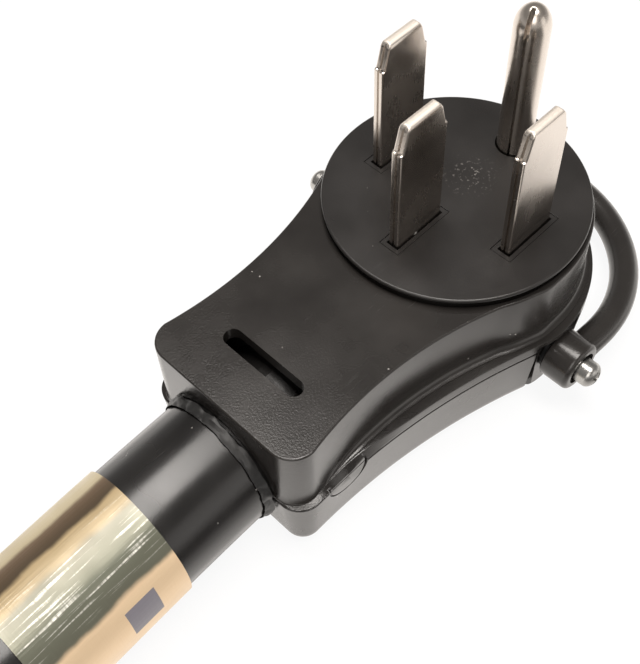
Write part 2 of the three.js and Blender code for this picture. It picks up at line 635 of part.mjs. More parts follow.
// ---------------------------------------------------------------- bail and pivots
function bailHandle() {
  const points = [];
  const steps = 20;
  for (let i = 0; i <= steps; i++) {
    const angle = Math.PI * (0.5 - i / steps);
    points.push([BAIL_ARM + BAIL_RADIUS * Math.cos(angle), BAIL_RADIUS * Math.sin(angle), 0]);
  }
  const arm = (side) => [0, BAIL_ARM / 2].map((x) => [x, side * BAIL_RADIUS, 0]);
  const rod = roundTube([...arm(1), ...points, ...arm(-1).reverse()], ROD_RADIUS, { sides: 12, steps: 40 });
  let bail = rod.rotate([0, BAIL_DROOP, 0]).translate([PIVOT_X, 0, PIVOT_HEIGHT]);
  for (const [, side] of SIDES) {
    bail = bail.add(pivotBar(BARREL_RADIUS, BARREL_INNER_Y, BARREL_INNER_Y + BARREL_LENGTH, side, 28));
  }
  for (const [, side] of SIDES) {
    const outer = BARREL_INNER_Y + BARREL_LENGTH;
    bail = bail.subtract(pivotBar(SCREW_RADIUS + GAP, BARREL_INNER_Y - 1, outer + 1, side));
    bail = bail.subtract(pivotBar(HEAD_RECESS_RADIUS, outer - HEAD_RECESS_DEPTH, outer + 1, side));
  }
  return bail;
}

// Flanged insert in the body; its flange keeps the barrel off the seat.
function pivotInsert(side) {
  const barrel = pivotBar(INSERT_RADIUS, INSERT_START, POCKET_Y + GAP, side);
  const flange = pivotBar(COLLAR_RADIUS, POCKET_Y + GAP, INSERT_FLANGE_OUTER, side);
  const bore = pivotBar(SCREW_RADIUS + GAP, SCREW_TIP - GAP, INSERT_FLANGE_OUTER + 1, side);
  return barrel.add(flange).subtract(bore);
}

// Domed-head screw through the barrel into the insert.
function pivotScrew(side) {
  const seat = BARREL_INNER_Y + BARREL_LENGTH - HEAD_RECESS_DEPTH + GAP;
  const profile = [[0, SCREW_TIP], [SCREW_RADIUS, SCREW_TIP], [SCREW_RADIUS, seat], [SCREW_HEAD_RADIUS, seat]];
  for (let i = 0; i <= 4; i++) {
    const angle = (Math.PI / 2) * (i / 4);
    const dome = SCREW_HEAD_DOME * Math.sin(angle);
    profile.push([SCREW_HEAD_RADIUS * Math.cos(angle), seat + SCREW_HEAD_STRAIGHT + dome]);
  }
  profile[profile.length - 1][0] = 0;
  const geometry = new THREE.LatheGeometry(profile.map(([r, y]) => new THREE.Vector2(r, y)), 20);
  if (side < 0) geometry.rotateX(Math.PI);
  return solidOf(geometry.translate(PIVOT_X, 0, PIVOT_HEIGHT));
}

// ---------------------------------------------------------------- cord, label, coil and ties
const cordStretch = (points, steps) => roundTube(points, CORD_RADIUS, { sides: 12, steps });

// Foil wrapped round the cord, following it, bare underneath.
function cordLabel() {
  const path = curveThrough(LEAD_POINTS);
  const at = (x) => {
    let [low, high] = [0, 1];
    for (let i = 0; i < 30; i++) {
      const middle = (low + high) / 2;
      if (path.getPoint(middle).x > x) low = middle;
      else high = middle;
    }
    return path.getPoint(low);
  };
  const inner = CORD_RADIUS + GAP;
  const arcSteps = 24;
  const start = degrees(-90 + LABEL_OPEN_ANGLE / 2);
  const sweep = degrees(360 - LABEL_OPEN_ANGLE);
  const rings = [];
  for (let i = 0; i <= 4; i++) {
    const centre = at(LABEL_START_X + ((LABEL_END_X - LABEL_START_X) * i) / 4);
    const ring = [];
    for (const [radius, backwards] of [[inner + LABEL_THICKNESS, false], [inner, true]]) {
      for (let k = 0; k <= arcSteps; k++) {
        const angle = start + (sweep * (backwards ? arcSteps - k : k)) / arcSteps;
        const [dy, dz] = [radius * Math.cos(angle), radius * Math.sin(angle)];
        ring.push(new THREE.Vector3(centre.x, centre.y + dy, centre.z + dz));
      }
    }
    rings.push(ring);
  }
  const caps = [];
  const count = 2 * (arcSteps + 1);
  for (let k = 0; k < arcSteps; k++) {
    caps.push([k, k + 1, count - 2 - k], [k, count - 2 - k, count - 1 - k]);
  }
  return loft(rings.map((ring) => ring.slice().reverse()), caps);
}

const COIL_CENTRE = new THREE.Vector2(COIL_ENTRY.x, COIL_ENTRY.y + COIL_OUTER_RADIUS);

// The coil's centreline after a number of turns: it spirals in on the lower layer, climbs in the
// half turn where the spiral reverses, and spirals out on the upper one.
function coilPoint(turn) {
  const middle = COIL_TURNS / 2;
  const folded = Math.min(turn, COIL_TURNS - turn);
  const share = THREE.MathUtils.clamp((turn - middle + 0.25) / 0.5, 0, 1);
  const straightIn = Math.min(folded, middle - 0.25);
  const radius = COIL_OUTER_RADIUS - COIL_PITCH * (straightIn + 0.5 * (share - share ** 2));
  const angle = degrees(-90 - 360 * turn);
  const height = COIL_HEIGHT + LAYER_RISE * THREE.MathUtils.smoothstep(share, 0, 1);
  const [dx, dy] = [radius * Math.cos(angle), radius * Math.sin(angle)];
  return new THREE.Vector3(COIL_CENTRE.x + dx, COIL_CENTRE.y + dy, height);
}

// The loops' centreline, with a straight run of one cord's width at each end.
function coilPath(stepsPerTurn) {
  const steps = Math.round(COIL_TURNS * stepsPerTurn);
  const points = [];
  for (let i = 0; i <= steps; i++) points.push(coilPoint((COIL_TURNS * i) / steps));
  const run = 2 * CORD_RADIUS;
  const heading = degrees(-90 - 360 * COIL_TURNS);
  const first = points[0].clone().add(new THREE.Vector3(run, 0, 0));
  const onward = new THREE.Vector3(Math.sin(heading), -Math.cos(heading), 0);
  return [first, ...points, points[steps].clone().addScaledVector(onward, run)];
}

function cordCoil() {
  const path = coilPath(LOOP_STEPS);
  const rings = path.map((p, i) => {
    const ahead = path[Math.min(i + 1, path.length - 1)];
    const behind = path[Math.max(i - 1, 0)];
    const forward = i === 1 ? path[0].clone().sub(p).negate() : ahead.clone().sub(behind);
    const side = new THREE.Vector3().crossVectors(forward, new THREE.Vector3(0, 0, 1)).normalize();
    const up = new THREE.Vector3().crossVectors(side, forward).normalize();
    return Array.from({ length: LOOP_SIDES }, (_, k) => {
      const angle = degrees(90 - (360 * k) / LOOP_SIDES);
      const [across, above] = [CORD_RADIUS * Math.cos(angle), CORD_RADIUS * Math.sin(angle)];
      return p.clone().addScaledVector(side, across).addScaledVector(up, above);
    });
  });
  const caps = [];
  for (let k = 1; k + 1 < LOOP_SIDES; k++) caps.push([0, k, k + 1]);
  return loft(rings, caps);
}

// Least gap between two stretches of the coil, and the length of the coil.
function measureCoil() {
  const path = coilPath(96);
  const along = [0];
  for (let i = 1; i < path.length; i++) along.push(along[i - 1] + path[i].distanceTo(path[i - 1]));
  let least = Infinity;
  for (let i = 0; i < path.length; i++) {
    for (let j = i + 1; j < path.length; j++) {
      if (along[j] - along[i] < 8 * CORD_RADIUS) continue;
      least = Math.min(least, path[i].distanceTo(path[j]) - 2 * CORD_RADIUS);
    }
  }
  return { least, length: along[along.length - 1] };
}

// A strap round all the turns where they cross one direction from the coil's middle.
function coilTie(angleDegrees) {
  const radii = [];
  for (let turn = 0; turn <= COIL_TURNS; turn += 0.005) {
    const p = coilPoint(turn);
    const offset = new THREE.Vector2(p.x, p.y).sub(COIL_CENTRE);
    const off = Math.atan2(offset.y, offset.x) - degrees(angleDegrees);
    if (Math.abs(Math.sin(off / 2)) < 0.04) radii.push(offset.length());
  }
  const reach = CORD_RADIUS + TIE_CLEARANCE;
  const [r0, r1] = [Math.min(...radii) - reach, Math.max(...radii) + reach];
  const [z0, z1] = [TIE_THICKNESS, COIL_HEIGHT + LAYER_RISE + reach];
  const band = (grow) => {
    const [a, b, c, d] = [r0 - grow, r1 + grow, z0 - grow, z1 + grow];
    const corner = TIE_CORNER + grow;
    const [left, right, low, high] = [a + corner, b - corner, c + corner, d - corner];
    const points = [];
    for (const [cx, cz, from] of [[right, low, -90], [right, high, 0], [left, high, 90], [left, low, 180]]) {
      for (let i = 0; i <= 4; i++) {
        const angle = degrees(from + 22.5 * i);
        points.push(new THREE.Vector2(cx + corner * Math.cos(angle), cz + corner * Math.sin(angle)));
      }
    }
    return points;
  };
  const shape = new THREE.Shape(band(TIE_THICKNESS));
  shape.holes.push(new THREE.Path(band(0).reverse()));
  const geometry = new THREE.ExtrudeGeometry(shape, { depth: TIE_WIDTH, bevelEnabled: false });
  geometry.translate(0, 0, -TIE_WIDTH / 2).rotateX(Math.PI / 2).rotateZ(degrees(angleDegrees));
  return geometry.translate(COIL_CENTRE.x, COIL_CENTRE.y, 0);
}

// ---------------------------------------------------------------- far connector
const FACE_START = CONNECTOR_LENGTH - CONNECTOR_FACE_THICKNESS - 1.5;
const SOCKETS = [
  { name: "socket_hot_left", y: HOT_SPACING / 2, z: 0 },
  { name: "socket_hot_right", y: -HOT_SPACING / 2, z: 0 },
  { name: "socket_neutral", y: 0, z: NEUTRAL_X },
];

// The room a blade takes, with a margin all round it, between two places along the connector.
function slotBox(s, x0, x1, margin) {
  const halfY = BLADE_THICKNESS / 2 + GAP + margin;
  const halfZ = BLADE_WIDTH / 2 + GAP + margin;
  return box(x0, x1, s.y - halfY, s.y + halfY, s.z - halfZ, s.z + halfZ);
}

function connectorShell() {
  const [outer, inner] = [CONNECTOR_RADIUS, CONNECTOR_RADIUS - CONNECTOR_WALL];
  const bore = CORD_RADIUS + GAP;
  return turned(
    [
      [bore, 0],
      [CONNECTOR_NECK, 0],
      [CONNECTOR_NECK + 1, CONNECTOR_SLOPE_START],
      [outer - 1.5, CONNECTOR_SLOPE_END - 4],
      [outer, CONNECTOR_SLOPE_END],
      [outer, CONNECTOR_LENGTH - 1],
      [outer - 1, CONNECTOR_LENGTH],
      [inner, CONNECTOR_LENGTH],
      [inner, CONNECTOR_SLOPE_END - 2],
      [bore, CONNECTOR_THROAT],
      [bore, 0],
    ],
    { axis: "x", segments: 40 },
  );
}

function connectorFace() {
  const radius = CONNECTOR_RADIUS - CONNECTOR_WALL - GAP;
  const [x0, x1] = [FACE_START, FACE_START + CONNECTOR_FACE_THICKNESS];
  let face = bar(radius, x0, x1, { axis: "x", segments: 40 });
  for (const s of SOCKETS) face = face.subtract(slotBox(s, x0 - 1, x1 + 1, 0));
  const hole = bar(PIN_RADIUS + GAP, x0 - 1, x1 + 1, { axis: "x", at: [0, 0, GROUND_X], segments: 20 });
  return face.subtract(hole);
}

// A spring socket behind a slot: a box sleeve that the blade slides into.
function bladeSocket(s) {
  const [x0, x1] = [FACE_START - GAP - SOCKET_DEPTH, FACE_START - GAP];
  return slotBox(s, x0, x1, SOCKET_WALL).subtract(slotBox(s, x0 + 2, x1 + 1, 0));
}

function groundSocket() {
  const [x0, x1] = [FACE_START - GAP - SOCKET_DEPTH, FACE_START - GAP];
  const bore = PIN_RADIUS + GAP;
  const outer = bore + SOCKET_WALL;
  const profile = [[0, x0], [outer, x0], [outer, x1], [bore, x1], [bore, x0 + 2], [0, x0 + 2]];
  return turned(profile, { axis: "x", at: [0, 0, GROUND_X], segments: 20 });
}

// The insulating block that the sockets sit in, open towards the face.
function connectorCore() {
  const [x0, x1] = [FACE_START - GAP - SOCKET_DEPTH - CORE_FLOOR, FACE_START - GAP];
  let core = bar(CONNECTOR_RADIUS - CONNECTOR_WALL - GAP, x0, x1, { axis: "x", segments: 40 });
  const margin = SOCKET_WALL + GAP;
  const floor = x0 + CORE_FLOOR - GAP;
  for (const s of SOCKETS) core = core.subtract(slotBox(s, floor, x1 + 1, margin));
  const well = bar(PIN_RADIUS + GAP + margin, floor, x1 + 1, { axis: "x", at: [0, 0, GROUND_X], segments: 20 });
  return core.subtract(well);
}

// The tapered boot that keeps the cord from kinking where it enters the connector.
function connectorBoot() {
  const bore = CORD_RADIUS + GAP;
  const profile = [[bore, -BOOT_LENGTH], [BOOT_TIP_RADIUS, -BOOT_LENGTH]];
  const pitch = (BOOT_LENGTH - 6) / BOOT_RIBS;
  for (let i = 0; i < BOOT_RIBS; i++) {
    const from = 4 - BOOT_LENGTH + pitch * i;
    const radius = BOOT_TIP_RADIUS + ((CONNECTOR_NECK - 1 - BOOT_TIP_RADIUS) * (i + 1)) / BOOT_RIBS;
    const to = from + 0.83 * pitch;
    profile.push([radius - 1, from], [radius, from + 2], [radius, to - 1.5], [radius - 1, to]);
  }
  profile.push([CONNECTOR_NECK - 0.5, -GAP], [bore, -GAP], [bore, -BOOT_LENGTH]);
  return turned(profile, { axis: "x", segments: 28 });
}

// ---------------------------------------------------------------- assembly
addPiece("lower_shell", lowerShell(), BODY_VINYL);
addPiece("upper_shell", upperShell(), BODY_VINYL);
addPiece("face_plate", facePlate(), FACE_NYLON);
addPiece("contact_carrier", contactCarrier(), FACE_NYLON);
for (const b of BLADES) addPiece(b.name, foldedBlade(b.tail), NICKEL).position.set(b.x, b.y, 0);
addPiece("ground_pin", groundPin(), NICKEL);
for (const c of CONTACTS) {
  addPiece(c.name + "_crimp", crimpBarrel(c), BRASS);
  addPiece(c.name + "_conductor", conductor(c), INSULATION[c.wire]);
  addPiece(c.name + "_copper", copperEnd(c), COPPER);
}
addPiece("jacket_end", jacketEnd(), CORD_JACKET);
addPiece("cord_clamp", cordClamp(), FACE_NYLON);
addPiece("entry_collar", entryCollar(), BODY_VINYL);

addPiece("bail_handle", bailHandle(), BODY_VINYL);
for (const [name, side] of SIDES) {
  addPiece("pivot_insert_" + name, pivotInsert(side), BLACK_STEEL);
  addPiece("pivot_screw_" + name, pivotScrew(side), STEEL);
}

addPiece("cord_lead", cordStretch(LEAD_POINTS, 8), CORD_JACKET);
addPiece("cord_label", cordLabel(), LABEL_FOIL);
addPiece("cord_coil", cordCoil(), CORD_JACKET);
addPiece("cord_tail", cordStretch(TAIL_POINTS, 8), CORD_JACKET);
TIE_ANGLES.forEach((angle, i) => addPiece("coil_tie_" + (i + 1), coilTie(angle), TIE_WEB));

const connector = new THREE.Group();
const [beforeEnd, tailEnd] = TAIL_POINTS.slice(-2).map((p) => new THREE.Vector3(...p));
const tailHeading = tailEnd.clone().sub(beforeEnd).normalize();
connector.position.copy(tailEnd).addScaledVector(tailHeading, -CORD_IN_CONNECTOR);
connector.rotation.z = Math.atan2(tailEnd.y - beforeEnd.y, tailEnd.x - beforeEnd.x);
object.add(connector);
addPiece("connector_boot", connectorBoot(), BODY_VINYL, connector);
addPiece("connector_shell", connectorShell(), BODY_VINYL, connector);
addPiece("connector_face", connectorFace(), FACE_NYLON, connector);
addPiece("connector_core", connectorCore(), FACE_NYLON, connector);
for (const s of SOCKETS) addPiece(s.name, bladeSocket(s), BRASS, connector);
addPiece("socket_ground", groundSocket(), BRASS, connector);

const span = (a, b) => Math.hypot(...a.map((v, k) => v - b[k]));
const lengthOf = (points) => points.slice(1).reduce((sum, p, i) => sum + span(p, points[i]), 0);
const coil = measureCoil();
const whole = lengthOf(LEAD_POINTS) + coil.length + lengthOf(TAIL_POINTS);
console.log("cord from plug to connector " + whole.toFixed(0) + " mm");
console.log("coil " + coil.length.toFixed(0) + " mm, least gap to itself " + coil.least.toFixed(2) + " mm");

export default object;
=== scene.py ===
# A 50 A shore power cord for a caravan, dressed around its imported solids: the right-angle plug with
# its blades and pull bail, the thick cord tied in a coil, and the connector on the far end.
import math

import bmesh
import bpy
from mathutils import Matrix, Vector


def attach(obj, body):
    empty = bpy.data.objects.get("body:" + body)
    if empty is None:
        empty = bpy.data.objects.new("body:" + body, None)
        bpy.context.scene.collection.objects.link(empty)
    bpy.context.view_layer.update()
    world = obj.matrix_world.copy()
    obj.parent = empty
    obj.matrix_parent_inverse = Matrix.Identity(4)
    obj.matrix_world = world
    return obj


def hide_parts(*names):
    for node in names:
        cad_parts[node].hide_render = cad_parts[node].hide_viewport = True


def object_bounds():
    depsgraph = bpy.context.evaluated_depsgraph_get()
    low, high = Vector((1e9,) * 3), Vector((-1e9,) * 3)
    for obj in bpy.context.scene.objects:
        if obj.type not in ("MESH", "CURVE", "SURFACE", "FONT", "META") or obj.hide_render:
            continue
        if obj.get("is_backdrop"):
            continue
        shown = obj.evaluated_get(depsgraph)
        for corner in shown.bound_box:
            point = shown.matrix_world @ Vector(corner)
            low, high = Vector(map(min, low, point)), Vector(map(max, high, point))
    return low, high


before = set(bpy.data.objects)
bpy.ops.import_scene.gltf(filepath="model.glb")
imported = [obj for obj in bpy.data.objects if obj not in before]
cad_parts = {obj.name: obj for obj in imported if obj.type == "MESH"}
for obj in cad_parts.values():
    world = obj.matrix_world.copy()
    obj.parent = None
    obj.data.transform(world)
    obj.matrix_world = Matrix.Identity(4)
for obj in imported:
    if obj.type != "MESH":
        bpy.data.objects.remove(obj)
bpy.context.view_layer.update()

# ---------------------------------------------------------------- the table it is photographed on
# A white sheet under a wide soft box over the camera's shoulder, with a low one on the right. The
# room above is dim and its walls are white. The camera looks down on the plug from the cord's side.
MM = 0.001
CAMERA_PLACE = Vector((-128.14, -93.80, 216.2)) * MM
CAMERA_RIGHT = Vector((0.69932, -0.71435, -0.02573))
CAMERA_UP = Vector((0.59771, 0.56463, 0.56916))
CAMERA_LENS = 60.68
CAMERA_SHIFT = (-0.01037, -0.00722)
SHEET_SIZE = 16
SHEET_WHITE = (0.9, 0.9, 0.9, 1)
SHEET_GLOW = 0.9  # share of the sheet's own white that a lens sees; the rest is light and shadow
SHEET_GLINT = 0.6  # the same share where a gloss sees it
SHEET_GLARE = 1.75  # how overexposed the sheet is in a gloss
# The sheet carries a painted shadow that only a gloss sees: painted darker from the near side, except up to
# its right part.
SHEET_FADE_Y = (-0.072, -0.031)  # where a shadow falls over the sheet, from the near side
SHEET_FADE_X = (0.03, 0.06)  # and up to its bright right part
SHEET_PAINTED_SHADE = 0.12
WARM_WHITE = (1, 0.955, 0.91, 1)
WALL_WHITE = (0.6, 0.58, 0.56, 1)
CEILING_DIM = (0.3, 0.286, 0.272, 1)
WALL_TOP = (0.16, 0.42)

camera_data = bpy.data.cameras.new("camera")
camera = bpy.data.objects.new("camera", camera_data)
bpy.context.scene.collection.objects.link(camera)
camera_axes = Matrix((CAMERA_RIGHT, CAMERA_UP, CAMERA_RIGHT.cross(CAMERA_UP))).transposed()
camera.matrix_world = Matrix.Translation(CAMERA_PLACE) @ camera_axes.to_4x4()
camera_data.lens = CAMERA_LENS
camera_data.sensor_fit = "AUTO"
camera_data.shift_x, camera_data.shift_y = CAMERA_SHIFT
camera_data.clip_start, camera_data.clip_end = 0.01, 20
bpy.context.scene.camera = camera
bpy.context.scene.view_settings.view_transform = "Standard"


def feed(node, inputs):
    """Sets a node's inputs to values, or links them to the outputs that feed them."""
    for socket, value in inputs.items():
        if isinstance(value, bpy.types.NodeSocket):
            node.id_data.links.new(value, node.inputs[socket])
        else:
            node.inputs[socket].default_value = value
    return node


def put(tree, kind, inputs=None, **settings):
    """Adds one shader node with its settings and inputs."""
    node = tree.nodes.new("ShaderNode" + kind)
    for key, value in settings.items():
        setattr(node, key, value)
    return feed(node, inputs or {})


def sum_of(operation, a, b=0.0):
    """A sum, of any kind, in the tree that its first number comes from."""
    return put(a.id_data, "Math", {0: a, 1: b}, operation=operation).outputs[0]


def times(a, b):
    return sum_of("MULTIPLY", a, b)


def plus(a, b):
    return sum_of("ADD", a, b)


def axes(vector):
    """A vector's X, Y and Z."""
    return put(vector.id_data, "SeparateXYZ", {0: vector}).outputs


def tint(share, a, b):
    """One colour turning into another by a share."""
    return put(share.id_data, "Mix", {0: share, 6: a, 7: b}, data_type="RGBA").outputs[2]


def spread(value, low, high, to_low=0.0, to_high=1.0):
    """A value's range stretched to another one."""
    return put(value.id_data, "MapRange", {0: value, 1: low, 2: high, 3: to_low, 4: to_high}).outputs[0]


white_sheet = bpy.data.materials.new("white sheet")
white_sheet.use_nodes = True
tree = white_sheet.node_tree
tree.nodes.clear()
rays = put(tree, "LightPath").outputs
glossy = rays["Is Glossy Ray"]
across = axes(put(tree, "TexCoord").outputs["Object"])
# Painted shadow: in a gloss the sheet is painted darker towards the near side, except at its right part.
painted_shade_y = spread(across["Y"], *SHEET_FADE_Y, SHEET_PAINTED_SHADE, 1.0)
painted_shade_x = spread(across["X"], *SHEET_FADE_X, SHEET_PAINTED_SHADE, 1.0)
painted_sheet_shade = spread(glossy, 0, 1, 1.0, sum_of("MAXIMUM", painted_shade_y, painted_shade_x))
paper = put(tree, "BsdfDiffuse", {"Color": tint(painted_sheet_shade, (0, 0, 0, 1), SHEET_WHITE)})
glare = spread(glossy, 0, 1, 1.0, SHEET_GLARE)
glow = put(tree, "Emission", {"Color": tint(glossy, (1, 1, 1, 1), WARM_WHITE),
                              "Strength": times(glare, painted_sheet_shade)})
straight = sum_of("MAXIMUM", rays["Is Camera Ray"], rays["Is Transmission Ray"])
share = plus(times(straight, SHEET_GLOW), times(glossy, SHEET_GLINT))
both = put(tree, "MixShader", {0: share, 1: paper.outputs[0], 2: glow.outputs[0]})
put(tree, "OutputMaterial", {"Surface": both.outputs[0]})
bpy.ops.mesh.primitive_plane_add(size=SHEET_SIZE, location=(0, 0, -0.0002))
sheet = bpy.context.object
sheet.name = "white_sheet"
sheet.data.materials.append(white_sheet)
sheet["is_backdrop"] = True

room = bpy.data.worlds.new("room")
bpy.context.scene.world = room
room.use_nodes = True
tree = room.node_tree
tree.nodes.clear()
upward = axes(put(tree, "TexCoord").outputs["Generated"])["Z"]
walls = tint(spread(upward, *WALL_TOP), WALL_WHITE, CEILING_DIM)
put(tree, "OutputWorld", {"Surface": put(tree, "Background", {"Color": walls}).outputs[0]})


def soft_box(name, place, target, width, length, watts):
    """An oblong soft box at a place, turned to a target."""
    data = bpy.data.lights.new(name, "AREA")
    data.shape = "RECTANGLE"
    data.size = width
    data.size_y = length
    data.energy = watts
    data.color = WARM_WHITE[:3]
    lamp = bpy.data.objects.new(name, data)
    bpy.context.scene.collection.objects.link(lamp)
    lamp.location = place
    lamp.rotation_euler = (Vector(target) - Vector(place)).to_track_quat("-Z", "Y").to_euler()


soft_box("overhead_panel", (0.02, 0.02, 1.2), (0.02, 0.02, 0), 0.4, 1.0, 17.5)
soft_box("camera_side_box", (-0.9, -0.6, 0.9), (-0.05, 0, 0.02), 0.9, 0.9, 7)
soft_box("low_right_box", (0.35, -1.3, 0.45), (-0.05, 0, 0.02), 0.7, 0.7, 1.5)

# ---------------------------------------------------------------- cord
# Three thick conductors and a ground in one round black jacket, 28.6 mm across and 4.6 m long. It
# leaves the plug, lies flat, and is wound in two layers of loops; its end drops to the connector.
CORD_RADIUS = 14.3
LEAD_ROUTE = [
    (-70.2, 0, 16.5), (-90, -0.4, 16.3), (-115, -1.2, 15.6), (-145, -2.4, 14.9), (-175, -3.6, 14.6),
    (-205, -4.6, 14.7), (-235, -5.4, 15.3), (-260, -5.9, 16), (-281.1, -6, 16.2),
]
TAIL_ROUTE = [
    (-438.8, 304.2, 45.6), (-426.3, 321, 45.2), (-405, 342.5, 43.4), (-379, 360.5, 40.2),
    (-350, 373.5, 36.8), (-319, 381.5, 34.4), (-287, 384.4, 33.4), (-256, 384.5, 33.3),
    (-227, 384.5, 33.3),
]
COIL_ENTRY = (-310, -6)
COIL_OUTER_RADIUS = 180.5
COIL_PITCH = 30
COIL_TURNS = 4.35
COIL_HEIGHT = 16.2
LAYER_RISE = 29.4
CLIMB_TURNS = 0.5
LOOP_STEPS = 48
CORD_STEP = 6
CORD_SIDES = 40


def clamp(value):
    return min(max(value, 0), 1)


def coil_point(turn):
    """The loops' middle after some turns: in on the lower layer, up, and out on the upper one."""
    middle = COIL_TURNS / 2
    folded = min(turn, COIL_TURNS - turn)
    climb = clamp((turn - middle + CLIMB_TURNS / 2) / CLIMB_TURNS)
    inward = min(folded, middle - CLIMB_TURNS / 2)
    radius = COIL_OUTER_RADIUS - COIL_PITCH * (inward + 0.5 * (climb - climb**2))
    angle = math.radians(-90 - 360 * turn)
    height = COIL_HEIGHT + LAYER_RISE * climb**2 * (3 - 2 * climb)
    x = COIL_ENTRY[0] + radius * math.cos(angle)
    y = COIL_ENTRY[1] + COIL_OUTER_RADIUS + radius * math.sin(angle)
    return (x, y, height)


def smooth_route(points, step):
    """Points about a step apart on a smooth curve through the given ones."""
    points = [Vector(p) for p in points]
    last = len(points) - 1
    route = []
    for i in range(last):
        a, b, c, d = (points[max(0, min(last, i + k))] for k in (-1, 0, 1, 2))
        parts = max(1, round((c - b).length / step))
        for t in (k / parts for k in range(parts)):
            bend = (2 * a - 5 * b + 4 * c - d) * t**2 + (3 * b - a - 3 * c + d) * t**3
            route.append((2 * b + (c - a) * t + bend) / 2)
    return [*route, points[last]]


def take(*pieces):
    """Selects these pieces and nothing else, and makes the first the active one."""
    bpy.ops.object.select_all(action="DESELECT")
    for piece in pieces:
        piece.select_set(True)
    bpy.context.view_layer.objects.active = pieces[0]


def draw_tube(name, route, radius, sides):
    """A round tube drawn along a route and made a mesh."""
    data = bpy.data.curves.new(name, "CURVE")
    data.dimensions = "3D"
    data.bevel_depth = radius * MM
    data.bevel_resolution = sides // 4 - 1
    data.use_fill_caps = True
    spline = data.splines.new("POLY")
    spline.points.add(len(route) - 1)
    for point, place in zip(spline.points, route):
        point.co = (*(Vector(place) * MM), 1)
    tube = bpy.data.objects.new(name, data)
    bpy.context.scene.collection.objects.link(tube)
    take(tube)
    bpy.ops.object.convert(target="MESH")
    tube = bpy.context.object
    bpy.ops.object.shade_smooth_by_angle(angle=math.radians(40))
    return tube


def new_group(name, inputs, outputs):
    """An empty node group with named number inputs, a Vector input and number outputs."""
    group = bpy.data.node_groups.new(name, "ShaderNodeTree")
    for socket in inputs:
        group.interface.new_socket(socket, in_out="INPUT", socket_type="NodeSocketFloat")
    group.interface.new_socket("Vector", in_out="INPUT", socket_type="NodeSocketVector")
    for socket in outputs:
        group.interface.new_socket(socket, in_out="OUTPUT", socket_type="NodeSocketFloat")
    return group, group.nodes.new("NodeGroupInput").outputs, group.nodes.new("NodeGroupOutput")


def place_group(tree, group, inputs):
    """One use of a node group in a material."""
    node = tree.nodes.new("ShaderNodeGroup")
    node.node_tree = group
    return feed(node, inputs)


def noise(where, scale, detail=2.0, roughness=0.5):
    """Soft clouds from 0 to 1, so many to a metre."""
    inputs = {"Vector": where, "Scale": scale, "Detail": detail, "Roughness": roughness}
    return put(where.id_data, "TexNoise", inputs).outputs[0]


# The pebbled skin of moulded vinyl and extruded jacket, over slow waves in its surface and tone.
moulded_grain, inside, outside = new_group("moulded grain", ["Grain per metre", "Waves per metre"],
                                           ["Height", "Patches"])
tree = moulded_grain
grain = noise(inside["Vector"], inside["Grain per metre"], 2.0, 0.6)
waves = noise(inside["Vector"], inside["Waves per metre"], 3.0)
feed(outside, {"Height": plus(grain, times(waves, 0.6)), "Patches": waves})

# Dust specks and short scuffs that a plug and its cord pick up: two masks.
SPECK_SIZE = 0.08
SCUFF_SHARE = 0.5
handling_marks, inside, outside = new_group("handling marks", [], ["Specks", "Scuffs"])
tree = handling_marks
cells = put(tree, "TexVoronoi", {"Vector": inside["Vector"], "Scale": 420.0}).outputs["Distance"]
dusty = sum_of("GREATER_THAN", noise(inside["Vector"], 130.0), 0.62)
specks = times(sum_of("LESS_THAN", cells, SPECK_SIZE), dusty)
drawn = put(tree, "Mapping", {"Vector": inside["Vector"], "Rotation": (0.3, 0.5, 0.7), "Scale": (1, 14, 4)})
lines = spread(noise(drawn.outputs[0], 120.0, 4.0), 0.62, 0.74)
areas = spread(noise(inside["Vector"], 35.0), 0.5, 0.68)
scuffs = times(times(lines, areas), SCUFF_SHARE)
feed(outside, {"Specks": specks, "Scuffs": scuffs})


def new_finish(name):
    """A material, its tree, its shader and the piece's own coordinates."""
    material = bpy.data.materials.new(name)
    material.use_nodes = True
    tree = material.node_tree
    return material, tree, tree.nodes["Principled BSDF"], put(tree, "TexCoord").outputs["Object"]


WAVES_PER_METRE = 60.0
SCUFF_COLOUR = (0.16, 0.155, 0.15, 1)
DUST_COLOUR = (0.42, 0.4, 0.38, 1)


def surface(shader, tone, gloss, height, strength, depth):
    """Gives a finish its colour, its roughness, and its height as a bump so many metres deep."""
    bump = put(shader.id_data, "Bump", {"Height": height, "Strength": strength, "Distance": depth})
    feed(shader, {"Base Color": tone, "Roughness": gloss, "Normal": bump.outputs[0]})


def dark_plastic(name, dark, light, rough, grain, depth):
    """Moulded or extruded plastic: grained, a little uneven in tone and gloss, with dust and scuffs."""
    material, tree, shader, where = new_finish(name)
    skin = place_group(tree, moulded_grain, {
        "Grain per metre": grain, "Waves per metre": WAVES_PER_METRE, "Vector": where}).outputs
    marks = place_group(tree, handling_marks, {"Vector": where}).outputs
    tone = tint(spread(skin["Patches"], 0.3, 0.7), (*dark, 1), (*light, 1))
    tone = tint(times(marks["Scuffs"], 0.12), tone, SCUFF_COLOUR)
    tone = tint(times(marks["Specks"], 0.6), tone, DUST_COLOUR)
    gloss = spread(skin["Patches"], 0.3, 0.7, rough - 0.05, rough + 0.06)
    gloss = plus(gloss, times(marks["Scuffs"], 0.1))
    surface(shader, tone, gloss, skin["Height"], 0.35, depth)
    return material


def finish_piece(piece, body, slot, material, *nodes):
    """Gives a piece its one finish, its body and the solids that it stands for. Its slot is not used."""
    piece.data.materials.clear()
    piece.data.materials.append(material)
    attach(piece, body)
    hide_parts(*nodes)


